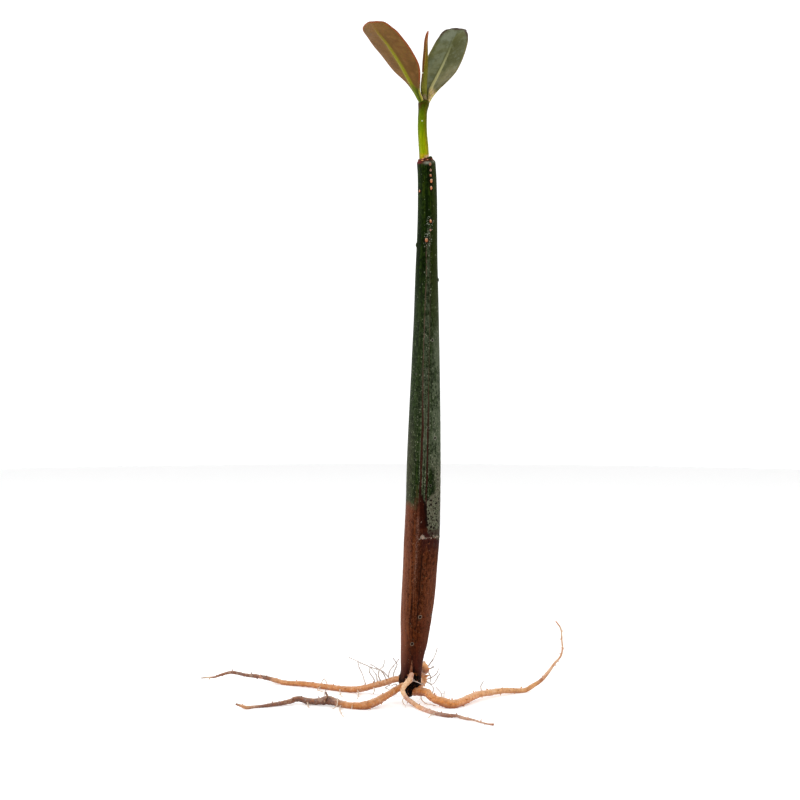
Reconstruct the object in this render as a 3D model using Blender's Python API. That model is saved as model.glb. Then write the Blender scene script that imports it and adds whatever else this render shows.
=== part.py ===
"""Red mangrove seedling with bare roots, standing on them.

Routes and heights are in millimetres from the foot of the plant at floor level: x to the right, y to the
back, z up. MM turns them into metres, and FOOT puts the plant's foot beside the middle of its spread.
"""

import math

import bmesh
import bpy
from mathutils import Matrix, Vector, noise

MM = 0.001
FOOT = Vector((13.4, 1.0, 0.0))
GAP = 0.3
UP = Vector((0.0, 0.0, 1.0))

# The hypocotyl: middle (x, y, z) and radius, from the torn foot up to the collar.
HYPOCOTYL_ROUTE = (
    (-0.8, -1.4, 2.0, 0.9),
    (-0.3, -1.0, 3.8, 2.3),
    (0.1, -0.3, 5.6, 3.6),
    (0.0, 0.0, 7.8, 4.2),
    (0.1, 0.0, 11.0, 4.4),
    (0.3, 0.0, 16.0, 4.65),
    (1.45, 0.0, 26.0, 5.75),
    (2.3, 0.0, 36.5, 6.6),
    (3.15, 0.0, 46.5, 7.1),
    (3.85, 0.0, 56.5, 7.25),
    (4.45, 0.0, 67.0, 7.45),
    (5.05, 0.0, 82.0, 7.3),
    (5.4, 0.0, 102.5, 7.15),
    (5.8, 0.0, 122.5, 6.6),
    (6.15, 0.0, 143.0, 5.95),
    (6.45, 0.0, 163.0, 5.25),
    (6.55, 0.0, 183.0, 4.65),
    (6.8, 0.0, 198.0, 4.25),
    (6.9, 0.0, 213.0, 4.05),
    (6.7, 0.0, 222.0, 3.95),
    (6.35, 0.0, 227.0, 3.9),
)
HYPOCOTYL_SIDES = 20
HYPOCOTYL_STEP = 5.5
FOOT_STEP = 1.6
FOOT_HEIGHT = 14.0

# What stands out from the foot or is torn out of it: rise, height, angle in degrees from the direction of
# x, then how far it spreads in height and in radians. A knob, a hollow, and the notch of the front root.
FOOT_FORMS = (
    (1.1, 9.0, 180.0, 2.6, 0.7),
    (-0.9, 6.0, -55.0, 2.6, 0.45),
    (-0.5, 13.5, -92.0, 2.2, 0.3),
)
TORN_RISE = 0.125
TORN_HEIGHT = 3.0

# Lenticels that stand up from the hypocotyl: height, angle from the direction of x, radius.
LENTICELS = (
    (226.3, -67.4, 0.45),
    (223.9, -67.0, 0.5),
    (221.7, -69.4, 0.5),
    (219.4, -67.0, 0.7),
    (216.5, -68.2, 0.65),
    (215.5, -141.0, 0.5),
    (202.7, -72.2, 0.55),
    (199.0, -72.0, 0.5),
    (194.8, -94.0, 0.75),
    (193.0, -172.0, 0.7),
    (178.6, -11.0, 0.75),
)
LENTICEL_RISE = 0.45
LENTICEL_SUNK = 0.25
LENTICEL_STRETCH = 1.3

# The collar: the lip round the socket that the stem comes out of. Each ring's x, height, radius, and how
# much higher its right side is than its middle.
COLLAR_LIP = (
    (6.3, 227.4, 3.75, 0.25),
    (6.1, 227.8, 3.35, 0.35),
    (5.9, 228.3, 3.0, 0.5),
    (5.8, 228.8, 2.85, 0.6),
)
COLLAR_RAGGED = 0.3
SOCKET_RADIUS = 2.4
SOCKET_FLOOR = 226.8
SOCKET_MOUTH = 228.2
SOCKET_LEAN = 0.4

# The stem, from the socket floor to the ring that the leaves grow from.
STEM_ROUTE = (
    (5.5, 0.0, SOCKET_FLOOR + GAP, 2.0),
    (5.45, 0.0, 229.8, 2.05),
    (5.3, 0.0, 232.5, 2.05),
    (4.75, 0.0, 240.0, 1.95),
    (4.7, 0.0, 244.0, 1.92),
    (4.95, 0.0, 249.0, 1.97),
    (5.3, 0.0, 251.6, 2.3),
    (5.4, 0.0, 252.6, 2.2),
)
STEM_SIDES = 12
STEM_STEP = 2.4

BUD_ROUTE = (
    (5.6, 0.0, 253.0, 0.8),
    (5.45, 0.0, 255.5, 1.35),
    (5.3, 0.0, 257.5, 1.42),
    (5.65, 0.0, 263.4, 1.27),
    (5.9, 0.0, 269.6, 1.2),
    (6.1, 0.0, 273.8, 0.98),
    (6.27, 0.0, 277.9, 0.76),
    (6.6, 0.0, 279.9, 0.6),
    (6.9, 0.0, 281.0, 0.45),
    (7.2, 0.0, 281.8, 0.15),
)
BUD_SIDES = 8
BUD_STEP = 2.6

# Leaves: midrib (x, y, z), then the half width on the side towards -X and on the side towards +X.
LEAF_THICK = 0.7
MIDRIB_THICK = 1.1
MIDRIB_SPREAD = 0.9
EDGE_THINNING = 0.55
PETIOLE_THICK = 1.5
PETIOLE_FLATNESS = 0.12
PETIOLE_END = 1.5
BLADE_START = 7.5
LEAF_FOLD = math.radians(10)
LEAF_STEP = 2.6
LEAF_ACROSS = 8
LEFT_LEAF_AZIMUTH = math.radians(225)
LEFT_LEAF_ROUTE = (
    (3.7, -1.2, 253.2, 0.9, 0.9),
    (2.7, -2.2, 255.6, 1.6, 1.2),
    (0.1, -5.0, 259.7, 3.3, 4.4),
    (-2.4, -7.5, 264.3, 8.2, 7.5),
    (-6.3, -11.5, 270.7, 10.8, 9.1),
    (-10.4, -15.5, 276.4, 11.6, 9.0),
    (-14.0, -19.2, 280.6, 9.2, 8.5),
    (-15.4, -21.0, 282.6, 4.9, 7.3),
    (-15.9, -21.7, 283.3, 2.9, 6.7),
    (-16.3, -22.4, 283.9, 1.1, 5.6),
    (-16.5, -22.7, 284.2, 0.3, 3.0),
)
RIGHT_LEAF_AZIMUTH = math.radians(56)
RIGHT_LEAF_ROUTE = (
    (7.5, 1.0, 253.2, 0.9, 0.9),
    (8.1, 1.8, 255.6, 1.8, 2.8),
    (9.0, 3.5, 258.6, 4.6, 6.4),
    (11.3, 7.0, 263.3, 7.2, 9.7),
    (13.6, 10.5, 268.1, 8.5, 10.1),
    (16.1, 14.5, 273.9, 8.5, 9.6),
    (18.2, 18.0, 279.1, 7.5, 7.9),
    (19.6, 19.8, 282.0, 6.3, 5.9),
    (20.1, 20.3, 282.7, 5.3, 5.2),
    (20.5, 20.8, 283.4, 3.7, 4.1),
    (20.8, 21.1, 283.9, 1.9, 2.2),
)

# Roots: middle (x, y, z) and radius, from inside the hypocotyl out to the tip.
ROOT_SIDES = 8
ROOT_STEP = 2.3
ROOT_LUMPS = 0.1
LUMPS_PER_MM = 0.45
ROOT_ROUTES = {
    "root_front": (
        (1.5, -1.0, 13.0, 1.2),
        (0.0, -5.0, 12.0, 1.25),
        (-0.5, -6.5, 10.1, 1.35),
        (-2.5, -8.0, 8.2, 1.3),
        (-3.5, -9.0, 6.3, 1.2),
        (-2.5, -10.5, 4.0, 1.15),
        (0.8, -14.0, 1.7, 1.1),
        (5.3, -24.5, 0.85, 1.0),
        (10.0, -33.0, 0.75, 0.95),
        (14.3, -38.0, 0.75, 0.9),
        (18.5, -41.0, 1.1, 0.75),
        (22.0, -44.0, 0.6, 0.6),
        (25.0, -47.0, 0.6, 0.45),
        (28.3, -51.5, 0.4, 0.4),
        (31.5, -55.5, 0.35, 0.35),
        (33.0, -57.0, 0.5, 0.5),
    ),
    "root_left_front": (
        (-1.0, -1.0, 7.9, 1.5),
        (-4.5, -4.5, 6.6, 1.5),
        (-7.0, -7.5, 5.6, 1.45),
        (-10.0, -11.0, 4.4, 1.5),
        (-14.5, -16.0, 2.4, 1.65),
        (-19.5, -20.0, 1.35, 1.7),
        (-24.0, -18.5, 1.3, 1.5),
        (-29.5, -15.0, 1.5, 1.5),
        (-34.5, -11.5, 2.4, 1.9),
        (-39.0, -10.0, 1.6, 1.55),
        (-44.0, -8.0, 1.3, 1.2),
        (-47.0, -7.0, 2.3, 1.0),
        (-48.5, -7.5, 2.3, 0.95),
        (-50.5, -9.0, 1.5, 0.85),
        (-53.5, -11.0, 1.1, 0.75),
        (-58.5, -14.0, 0.7, 0.65),
        (-62.5, -16.0, 0.55, 0.6),
        (-65.5, -17.0, 0.6, 0.65),
        (-68.5, -19.5, 0.75, 0.85),
        (-71.0, -18.0, 1.2, 0.6),
        (-73.0, -16.5, 1.6, 0.5),
    ),
    "root_left_back": (
        (-1.0, 1.0, 9.0, 1.3),
        (-6.5, 4.0, 8.6, 1.4),
        (-10.0, 7.5, 6.9, 1.4),
        (-15.0, 12.0, 4.8, 1.4),
        (-20.0, 16.0, 2.8, 1.4),
        (-25.0, 20.5, 1.4, 1.4),
        (-30.5, 24.0, 1.2, 1.35),
        (-35.5, 28.0, 1.15, 1.3),
        (-45.5, 35.0, 1.3, 1.2),
        (-56.0, 41.0, 1.1, 1.1),
        (-60.0, 44.5, 1.6, 1.05),
        (-66.5, 47.0, 2.6, 0.95),
        (-72.5, 49.5, 2.9, 0.8),
        (-76.0, 51.5, 3.3, 0.75),
        (-79.0, 52.0, 3.6, 0.7),
        (-84.0, 52.5, 2.3, 0.55),
        (-86.0, 53.0, 1.5, 0.45),
        (-90.5, 54.5, 0.9, 0.35),
        (-92.5, 55.0, 0.6, 0.25),
    ),
    "root_right": (
        (0.5, -1.0, 4.0, 1.5),
        (2.8, -3.6, 4.6, 1.75),
        (6.5, -8.0, 5.4, 2.05),
        (9.5, -13.0, 4.0, 2.1),
        (13.0, -16.0, 2.6, 2.05),
        (17.0, -17.0, 1.55, 1.95),
        (20.5, -13.0, 1.75, 1.75),
        (24.5, -6.0, 2.2, 1.6),
        (28.5, 1.5, 2.5, 1.45),
        (32.5, 6.5, 2.3, 1.4),
        (36.5, 11.5, 2.1, 1.3),
        (40.5, 15.5, 1.8, 1.25),
        (45.0, 19.0, 1.2, 1.15),
        (49.0, 21.5, 0.9, 1.1),
        (53.0, 24.5, 2.6, 1.0),
        (56.5, 27.0, 4.4, 0.85),
        (59.5, 28.0, 7.6, 0.72),
        (62.0, 28.5, 11.1, 0.6),
        (65.0, 28.0, 15.0, 0.45),
        (65.6, 27.0, 18.5, 0.42),
        (65.2, 26.0, 22.0, 0.4),
        (64.6, 24.5, 27.5, 0.35),
        (62.5, 24.0, 30.5, 0.25),
    ),
    "root_back": (
        (1.5, 1.0, 14.0, 1.2),
        (4.4, 3.6, 14.9, 1.5),
        (6.1, 6.0, 12.5, 1.75),
        (5.0, 8.2, 9.8, 1.0),
        (5.7, 10.5, 7.6, 1.15),
        (5.0, 15.0, 5.0, 1.2),
        (3.5, 22.0, 2.2, 1.15),
        (2.3, 29.0, 1.1, 1.1),
        (0.5, 39.0, 0.9, 0.9),
        (-0.8, 45.5, 0.9, 0.7),
        (-1.0, 50.5, 0.7, 0.45),
    ),
}

# Rootlets: middle (x, y, z) from inside the root that they grow from out to the tip.
ROOTLET_SIDES = 4
ROOTLET_STEP = 2.6
ROOTLET_RADIUS = 0.27
ROOTLET_TIP = 0.12
ROOTLETS = {
    "root_front": (
        ((-2.5, -10.5, 4.0), (-3.6, -13.5, 2.6), (-2.4, -18.0, 1.2)),
        ((-0.5, -6.5, 10.0), (2.0, -7.5, 9.6), (5.0, -8.6, 8.4)),
        ((10.0, -33.0, 1.0), (8.0, -38.0, 0.7), (7.0, -42.0, 0.4)),
    ),
    "root_left_front": (
        ((-30.5, -14.5, 1.7), (-30.5, -17.0, 4.0), (-31.2, -22.0, 1.5), (-32.4, -24.0, 0.9)),
        ((-29.5, -15.0, 1.2), (-29.5, -24.0, 0.5), (-27.8, -40.0, 0.4)),
        ((-9.5, -10.5, 4.2), (-9.0, -8.0, 6.0), (-10.8, -5.0, 6.6), (-8.7, -3.0, 7.4)),
        ((-35.0, -11.3, 2.6), (-36.3, -10.0, 4.6), (-35.6, -9.0, 6.4)),
        ((-43.5, -8.3, 1.3), (-43.0, -14.0, 0.6), (-42.4, -19.0, 0.4)),
        ((-24.5, -19.0, 1.7), (-24.6, -22.4, 0.8)),
        ((-6.3, -6.6, 6.0), (-6.2, -6.2, 8.2), (-8.2, -8.6, 8.0)),
    ),
    "root_left_back": (
        ((-8.5, 6.0, 8.0), (-12.0, 9.0, 11.2), (-17.0, 14.0, 12.1), (-21.5, 17.0, 13.6), (-26.5, 19.0, 15.6)),
        ((-10.0, 7.5, 7.0), (-12.2, 4.0, 11.8), (-17.4, 1.0, 15.8)),
        ((-19.0, 15.3, 3.2), (-20.6, 18.0, 8.1), (-22.5, 21.0, 12.1), (-22.7, 22.0, 14.6)),
        ((-15.0, 12.0, 4.8), (-15.8, 11.0, 7.6), (-17.6, 8.0, 11.4), (-17.4, 7.0, 13.2)),
        ((-14.2, 11.3, 5.2), (-15.0, 15.0, 9.0), (-17.1, 17.0, 11.4)),
        ((-12.3, 9.5, 6.0), (-13.7, 8.0, 9.5), (-13.4, 7.0, 12.0), (-11.6, 8.0, 13.8), (-11.3, 9.0, 16.2)),
        ((-7.8, 5.3, 8.0), (-7.1, 8.0, 11.1), (-6.0, 11.0, 14.2), (-7.6, 12.0, 16.4)),
        ((-9.5, 7.0, 7.2), (-8.9, 5.0, 12.2), (-6.6, 6.0, 14.9), (-5.0, 8.0, 16.7)),
        ((-30.5, 24.0, 1.2), (-30.2, 15.0, 0.5), (-29.3, 8.0, 0.4)),
        ((-23.0, 19.0, 2.0), (-22.4, 13.0, 1.3), (-22.5, 4.0, 0.4)),
        ((-16.0, 12.8, 4.4), (-15.6, 9.6, 2.6), (-16.0, 8.6, 1.5)),
        ((-38.5, 30.2, 1.4), (-40.2, 25.0, 0.7), (-37.6, 20.0, 0.4)),
        ((-36.0, 28.4, 1.3), (-36.4, 29.0, 3.0), (-37.4, 30.0, 4.4), (-38.8, 31.4, 2.4)),
    ),
    "root_right": (
        ((13.2, -16.0, 3.0), (12.5, -15.0, 6.0), (10.3, -14.0, 8.5)),
        ((13.6, -16.2, 3.0), (13.9, -17.5, 7.2)),
        ((30.3, 3.8, 2.6), (29.8, 6.0, 5.4), (31.0, 8.0, 7.2)),
        ((4.6, -5.2, 4.8), (4.3, -4.6, 1.8), (5.6, -6.4, 0.5), (8.0, -10.5, 0.4), (10.2, -12.5, 0.4)),
        ((8.6, -11.4, 4.8), (9.5, -9.0, 6.8), (8.6, -7.6, 8.2)),
    ),
    "root_back": (
        ((6.6, 7.0, 12.8), (8.7, 8.0, 15.4), (10.3, 9.0, 18.0), (11.3, 9.0, 21.2)),
        ((6.2, 12.6, 7.0), (8.4, 13.0, 7.7), (11.2, 13.0, 9.8), (11.9, 14.0, 11.4)),
        ((6.2, 13.0, 6.4), (8.7, 12.0, 5.2), (12.4, 9.0, 10.3)),
        ((6.8, 7.4, 12.0), (8.4, 8.0, 9.2), (8.1, 8.0, 5.9)),
        ((6.8, 6.8, 12.8), (8.7, 6.0, 13.1), (9.7, 5.0, 13.8), (8.9, 5.0, 14.3)),
        ((2.7, 27.0, 1.6), (1.2, 31.0, 4.0), (-0.8, 33.0, 4.6)),
    ),
}

# The colour and roughness of each piece, as the photo shows it on the whole.
LOOKS = {
    "hypocotyl": ((0.035, 0.075, 0.03), 0.4),
    "lenticel": ((0.6, 0.3, 0.18), 0.6),
    "stem": ((0.13, 0.25, 0.04), 0.4),
    "leaf_left": ((0.2, 0.11, 0.05), 0.45),
    "leaf_right": ((0.12, 0.15, 0.09), 0.25),
    "leaf_bud": ((0.2, 0.2, 0.05), 0.4),
    "root_front": ((0.70, 0.45, 0.28), 0.6),
    "root_left_front": ((0.50, 0.24, 0.10), 0.6),
    "root_left_back": ((0.52, 0.26, 0.11), 0.6),
    "root_right": ((0.60, 0.32, 0.12), 0.6),
    "root_back": ((0.50, 0.24, 0.09), 0.6),
}


def clear_scene():
    for obj in list(bpy.data.objects):
        bpy.data.objects.remove(obj, do_unlink=True)


def finish(name):
    colour, roughness = LOOKS[name]
    material = bpy.data.materials.new(name)
    material.use_nodes = True
    shader = material.node_tree.nodes["Principled BSDF"]
    shader.inputs["Base Color"].default_value = (*colour, 1.0)
    shader.inputs["Roughness"].default_value = roughness
    shader.inputs["Metallic"].default_value = 0.0
    return material


def bump(value, middle, width):
    """1 at the middle, falling to nothing a few widths away."""
    return math.exp(-(((value - middle) / width) ** 2))


def angle_between(a, b):
    return abs((a - b + math.pi) % (2 * math.pi) - math.pi)


def ring_angles(sides):
    return [2 * math.pi * k / sides for k in range(sides)]


def around(middle, radius, angle):
    """The point of a level circle at this angle from the direction of x."""
    return Vector(middle) + radius * Vector((math.cos(angle), math.sin(angle), 0.0))


def smooth_route(points, step):
    """Samples about a step apart on a smooth curve through the points. What follows x, y, z rides along."""
    at = [0.0]
    for before, after in zip(points, points[1:]):
        at.append(at[-1] + (Vector(after[:3]) - Vector(before[:3])).length)

    def slope(i):
        low, high = max(i - 1, 0), min(i + 1, len(points) - 1)
        if high - low == 1:
            return [(b - a) / (at[high] - at[low]) for a, b in zip(points[low], points[high])]
        left, right = at[i] - at[low], at[high] - at[i]
        return [
            ((q - p) / left * right + (r - q) / right * left) / (left + right)
            for p, q, r in zip(points[low], points[i], points[high])
        ]

    samples = []
    for i in range(len(points) - 1):
        length = at[i + 1] - at[i]
        parts = max(1, round(length / step))
        starts, ends = slope(i), slope(i + 1)
        for j in range(parts):
            t = j / parts
            samples.append(
                tuple(
                    (2 * t**3 - 3 * t**2 + 1) * p
                    + (t**3 - 2 * t**2 + t) * length * m
                    + (3 * t**2 - 2 * t**3) * q
                    + (t**3 - t**2) * length * n
                    for p, q, m, n in zip(points[i], points[i + 1], starts, ends)
                )
            )
    samples.append(tuple(points[-1]))
    return samples


def tangents(middles):
    last = len(middles) - 1
    return [(middles[min(i + 1, last)] - middles[max(i - 1, 0)]).normalized() for i in range(last + 1)]


def side_vectors(along):
    """A direction across each sample, level where the route is level, with no twist from one to the next."""
    start = min(range(len(along)), key=lambda i: abs(along[i].z))
    across = {start: along[start].cross(UP).normalized()}
    for i in range(start + 1, len(along)):
        across[i] = (across[i - 1] - across[i - 1].dot(along[i]) * along[i]).normalized()
    for i in range(start - 1, -1, -1):
        across[i] = (across[i + 1] - across[i + 1].dot(along[i]) * along[i]).normalized()
    return [across[i] for i in range(len(along))]


def skin(name, rings, material):
    """A closed object over rings of points in millimetres. A point in the middle closes each end."""
    mesh = bmesh.new()
    placed = [[mesh.verts.new((point + FOOT) * MM) for point in ring] for ring in rings]
    count = len(placed[0])
    for low, high in zip(placed, placed[1:]):
        for k in range(count):
            following = (k + 1) % count
            mesh.faces.new((low[k], high[k], high[following], low[following]))
    for ring in (placed[0], placed[-1]):
        middle = mesh.verts.new(sum((vert.co for vert in ring), Vector()) / count)
        for k in range(count):
            mesh.faces.new((ring[k], ring[(k + 1) % count], middle))
    return mesh_object(name, mesh, material)


def mesh_object(name, mesh, material):
    bmesh.ops.recalc_face_normals(mesh, faces=mesh.faces)
    data = bpy.data.meshes.new(name)
    mesh.to_mesh(data)
    mesh.free()
    data.shade_smooth()
    data.set_sharp_from_angle(angle=math.radians(50))
    data.materials.append(material)
    obj = bpy.data.objects.new(name, data)
    bpy.context.scene.collection.objects.link(obj)
    return obj


def tube_rings(route, sides, step, lumps=0.0):
    """Rings along a tapered tube. An edge of each ring faces down, and nothing goes below the floor."""
    samples = smooth_route(route, step)
    middles = [Vector(sample[:3]) for sample in samples]
    along = tangents(middles)
    rings = []
    for middle, forward, across, sample in zip(middles, along, side_vectors(along), samples):
        above = across.cross(forward)
        ring = []
        for k in range(sides):
            angle = 2 * math.pi * (k + 0.5) / sides
            out = math.cos(angle) * across + math.sin(angle) * above
            lump = noise.noise((middle + out * sample[3]) * LUMPS_PER_MM)
            radius = sample[3] * (1 + lumps * lump)
            point = middle + out * radius
            point.z = max(point.z, 0.0)
            ring.append(point)
        rings.append(ring)
    return rings


def hypocotyl_rings(clearance):
    """Rings up the hypocotyl, with the knob and the torn places of its foot. Clearance makes it fatter."""
    samples = smooth_route([p for p in HYPOCOTYL_ROUTE if p[2] <= FOOT_HEIGHT + 3], FOOT_STEP)
    samples += smooth_route([p for p in HYPOCOTYL_ROUTE if p[2] > FOOT_HEIGHT], HYPOCOTYL_STEP)[1:]
    rings = []
    for x, y, z, radius in samples:
        ring = []
        for angle in ring_angles(HYPOCOTYL_SIDES):
            torn = TORN_RISE * radius * math.sin(3 * angle + 1.0) * bump(z, TORN_HEIGHT, TORN_HEIGHT)
            reach = radius + torn + clearance
            for rise, height, degrees, tall, wide in FOOT_FORMS:
                turn = angle_between(angle, math.radians(degrees))
                reach += rise * bump(z, height, tall) * bump(turn, 0, wide)
            ring.append(around((x, y, z), reach, angle))
        rings.append(ring)
    return rings


def collar_rings():
    """Rings over the ragged lip, which leans to the left, and down into the socket."""
    rings = []
    for x, height, radius, lean in COLLAR_LIP:
        ring = []
        for angle in ring_angles(HYPOCOTYL_SIDES):
            ragged = COLLAR_RAGGED * (math.sin(5 * angle) + math.sin(3 * angle + 2)) / 2
            ring.append(around((x, 0.0, height + ragged + lean * math.cos(angle)), radius, angle))
        rings.append(ring)
    for height, lean in ((SOCKET_MOUTH, SOCKET_LEAN), (SOCKET_FLOOR, 0.0)):
        ring = []
        for angle in ring_angles(HYPOCOTYL_SIDES):
            middle = (STEM_ROUTE[0][0], 0.0, height + lean * math.cos(angle))
            ring.append(around(middle, SOCKET_RADIUS, angle))
        rings.append(ring)
    return rings


def leaf_half_ring(half_widths, blade):
    """Across a leaf: how far out, how far up, and how far up and down from there its two faces are."""
    for k in range(LEAF_ACROSS + 1):
        share = 2 * k / LEAF_ACROSS - 1
        half = half_widths[0] if share < 0 else half_widths[1]
        rib = (MIDRIB_THICK - LEAF_THICK) * bump(share * half, 0, MIDRIB_SPREAD)
        flat = LEAF_THICK * (1 - EDGE_THINNING * abs(share) ** 3)
        round_one = PETIOLE_THICK * math.sqrt(max(PETIOLE_FLATNESS, 1 - share**2))
        thick = flat * blade + round_one * (1 - blade)
        outwards = share * half * math.cos(LEAF_FOLD)
        upwards = abs(share) ** 1.5 * half * math.sin(LEAF_FOLD)
        yield outwards, upwards, thick / 2, thick / 2 + rib * blade


def leaf_rings(route, azimuth):
    """Rings round a leaf blade: along its upper side, round the edge and back along the underside."""
    samples = smooth_route(route, LEAF_STEP)
    middles = [Vector(sample[:3]) for sample in samples]
    level = Vector((-math.sin(azimuth), math.cos(azimuth), 0.0))
    if level.x < 0:
        level = -level
    rings = []
    run = 0.0
    for number, forward in enumerate(tangents(middles)):
        middle = middles[number]
        run += (middle - middles[max(number - 1, 0)]).length
        blade = min(1.0, max(0.0, (run - PETIOLE_END) / (BLADE_START - PETIOLE_END)))
        across = (level - level.dot(forward) * forward).normalized()
        above = across.cross(forward)
        if above.z < 0:
            above = -above
        upper, under = [], []
        for outwards, upwards, top, bottom in leaf_half_ring(samples[number][3:], blade):
            spot = middle + across * outwards + above * upwards
            upper.append(spot + above * top)
            under.append(spot - above * bottom)
        rings.append(upper + under[::-1])
    return rings


def cut(obj, cutter):
    modifier = obj.modifiers.new("clear of " + cutter.name, "BOOLEAN")
    modifier.operation = "DIFFERENCE"
    modifier.object = cutter


def fuse(obj, addition):
    addition.hide_render = True
    addition.display_type = "WIRE"
    modifier = obj.modifiers.new("with " + addition.name, "BOOLEAN")
    modifier.operation = "UNION"
    modifier.object = addition


def build_lenticels(hypocotyl, material):
    """Low blisters, each half sunk in the skin and longer than it is wide."""
    for number, (height, degrees, radius) in enumerate(LENTICELS, 1):
        below = max((p for p in HYPOCOTYL_ROUTE if p[2] <= height), key=lambda p: p[2])
        above = min((p for p in HYPOCOTYL_ROUTE if p[2] >= height), key=lambda p: p[2], default=below)
        share = (height - below[2]) / max(above[2] - below[2], 1.0)
        x, y, _, body = (a + (b - a) * share for a, b in zip(below, above))
        sunk = radius * LENTICEL_SUNK
        spot = around((x, y, height), body - sunk, math.radians(degrees))
        blister = bmesh.new()
        bmesh.ops.create_icosphere(blister, subdivisions=1, radius=1.0)
        size = Vector((sunk + LENTICEL_RISE, radius, radius * LENTICEL_STRETCH))
        turn = Matrix.Rotation(math.radians(degrees), 3, "Z")
        for vert in blister.verts:
            stretched = Vector(a * b for a, b in zip(vert.co, size))
            vert.co = (spot + turn @ stretched + FOOT) * MM
        fuse(hypocotyl, mesh_object(f"lenticel_{number}", blister, material))


def build_roots(clearance):
    for name, route in ROOT_ROUTES.items():
        material = finish(name)
        root = skin(name, tube_rings(route, ROOT_SIDES, ROOT_STEP, ROOT_LUMPS), material)
        for number, points in enumerate(ROOTLETS[name], 1):
            last = len(points) - 1
            thinning = ROOTLET_RADIUS - ROOTLET_TIP
            thin_route = [(*point, ROOTLET_RADIUS - thinning * i / last) for i, point in enumerate(points)]
            rings = tube_rings(thin_route, ROOTLET_SIDES, ROOTLET_STEP)
            fuse(root, skin(f"rootlet_{name[5:]}_{number}", rings, material))
        cut(root, clearance)


def main():
    clear_scene()
    green = finish("hypocotyl")
    hypocotyl = skin("hypocotyl", hypocotyl_rings(0.0) + collar_rings(), green)
    build_lenticels(hypocotyl, finish("lenticel"))
    clearance = skin("hypocotyl_clearance", hypocotyl_rings(GAP), green)
    clearance.hide_render = True
    clearance.display_type = "WIRE"
    skin("stem", tube_rings(STEM_ROUTE, STEM_SIDES, STEM_STEP), finish("stem"))
    skin("leaf_left", leaf_rings(LEFT_LEAF_ROUTE, LEFT_LEAF_AZIMUTH), finish("leaf_left"))
    skin("leaf_right", leaf_rings(RIGHT_LEAF_ROUTE, RIGHT_LEAF_AZIMUTH), finish("leaf_right"))
    skin("leaf_bud", tube_rings(BUD_ROUTE, BUD_SIDES, BUD_STEP), finish("leaf_bud"))
    build_roots(clearance)


main()
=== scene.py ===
"""A bare-root red mangrove seedling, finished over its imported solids.

Routes are in millimetres from the foot of the plant at floor level, as the solids have them: x to the right,
y to the back, z up. Angles round the hypocotyl are in degrees from its front line, plus to the right.
"""

import math

import bpy
import numpy as np
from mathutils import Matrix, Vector, noise

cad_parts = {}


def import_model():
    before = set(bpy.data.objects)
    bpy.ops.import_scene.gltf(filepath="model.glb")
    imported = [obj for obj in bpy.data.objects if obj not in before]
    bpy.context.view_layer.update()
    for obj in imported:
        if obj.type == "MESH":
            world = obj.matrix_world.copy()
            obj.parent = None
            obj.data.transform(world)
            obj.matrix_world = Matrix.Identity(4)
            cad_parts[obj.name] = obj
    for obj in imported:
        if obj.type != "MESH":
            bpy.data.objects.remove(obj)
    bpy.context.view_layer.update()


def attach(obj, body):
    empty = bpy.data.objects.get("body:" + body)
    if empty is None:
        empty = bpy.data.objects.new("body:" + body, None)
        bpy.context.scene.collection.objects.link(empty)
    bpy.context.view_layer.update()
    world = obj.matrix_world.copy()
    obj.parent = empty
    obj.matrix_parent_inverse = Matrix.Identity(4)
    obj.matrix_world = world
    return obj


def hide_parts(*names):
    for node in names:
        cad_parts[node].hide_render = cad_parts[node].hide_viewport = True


MM = 0.001
FOOT = np.array((13.4, 1.0, 0.0))
UP = np.array((0.0, 0.0, 1.0))

# The picture: a long lens far away, a little above the plant, looking slightly down.
CAMERA_PLACE = (8.8, -1199.0, 211.0)
CAMERA_PITCH = 3.9719
CAMERA_LENS = 128.881
CAMERA_SENSOR = 36.0

# Softboxes: name, place, width and height, power.
LIGHT_AIM = (0.013, 0.0, 0.14)
SOFTBOXES = (
    ("left softbox", (-1.15, 0.0, 0.35), (0.45, 0.9), 6.0),
    ("right softbox", (1.15, 0.05, 0.35), (0.45, 0.9), 4.0),
    ("left key", (-0.5, -0.75, 1.2), (0.8, 0.6), 7.5),
    ("right key", (0.5, -0.75, 1.2), (0.8, 0.6), 5.5),
)
WHITE = (1.0, 1.0, 1.0)

# The hypocotyl: middle (x, y, z) and radius, from the torn foot up to the collar.
HYPOCOTYL_ROUTE = (
    (-0.8, -1.4, 2, 0.9), (-0.3, -1, 3.8, 2.3), (0.1, -0.3, 5.6, 3.6), (0, 0, 7.8, 4.2), (0.1, 0, 11, 4.4),
    (0.3, 0, 16, 4.65), (1.45, 0, 26, 5.75), (2.3, 0, 36.5, 6.6), (3.15, 0, 46.5, 7.1), (3.85, 0, 56.5, 7.25),
    (4.45, 0, 67, 7.45), (5.05, 0, 82, 7.3), (5.4, 0, 102.5, 7.15), (5.8, 0, 122.5, 6.6),
    (6.15, 0, 143, 5.95), (6.45, 0, 163, 5.25), (6.55, 0, 183, 4.65), (6.8, 0, 198, 4.25),
    (6.9, 0, 213, 4.05), (6.7, 0, 222, 3.95), (6.35, 0, 227, 3.9),
)
HYPOCOTYL_SIDES = 140
HYPOCOTYL_STEP = 0.38

# A knob, a hollow and a notch at the foot: how far it stands out, height, half height, angle, and half width
# in radians.
FOOT_FORMS = ((1.1, 9, 2.6, -90, 0.7), (-0.9, 6, 2.6, 35, 0.45), (-0.5, 13.5, 2.2, -2, 0.3))

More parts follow.
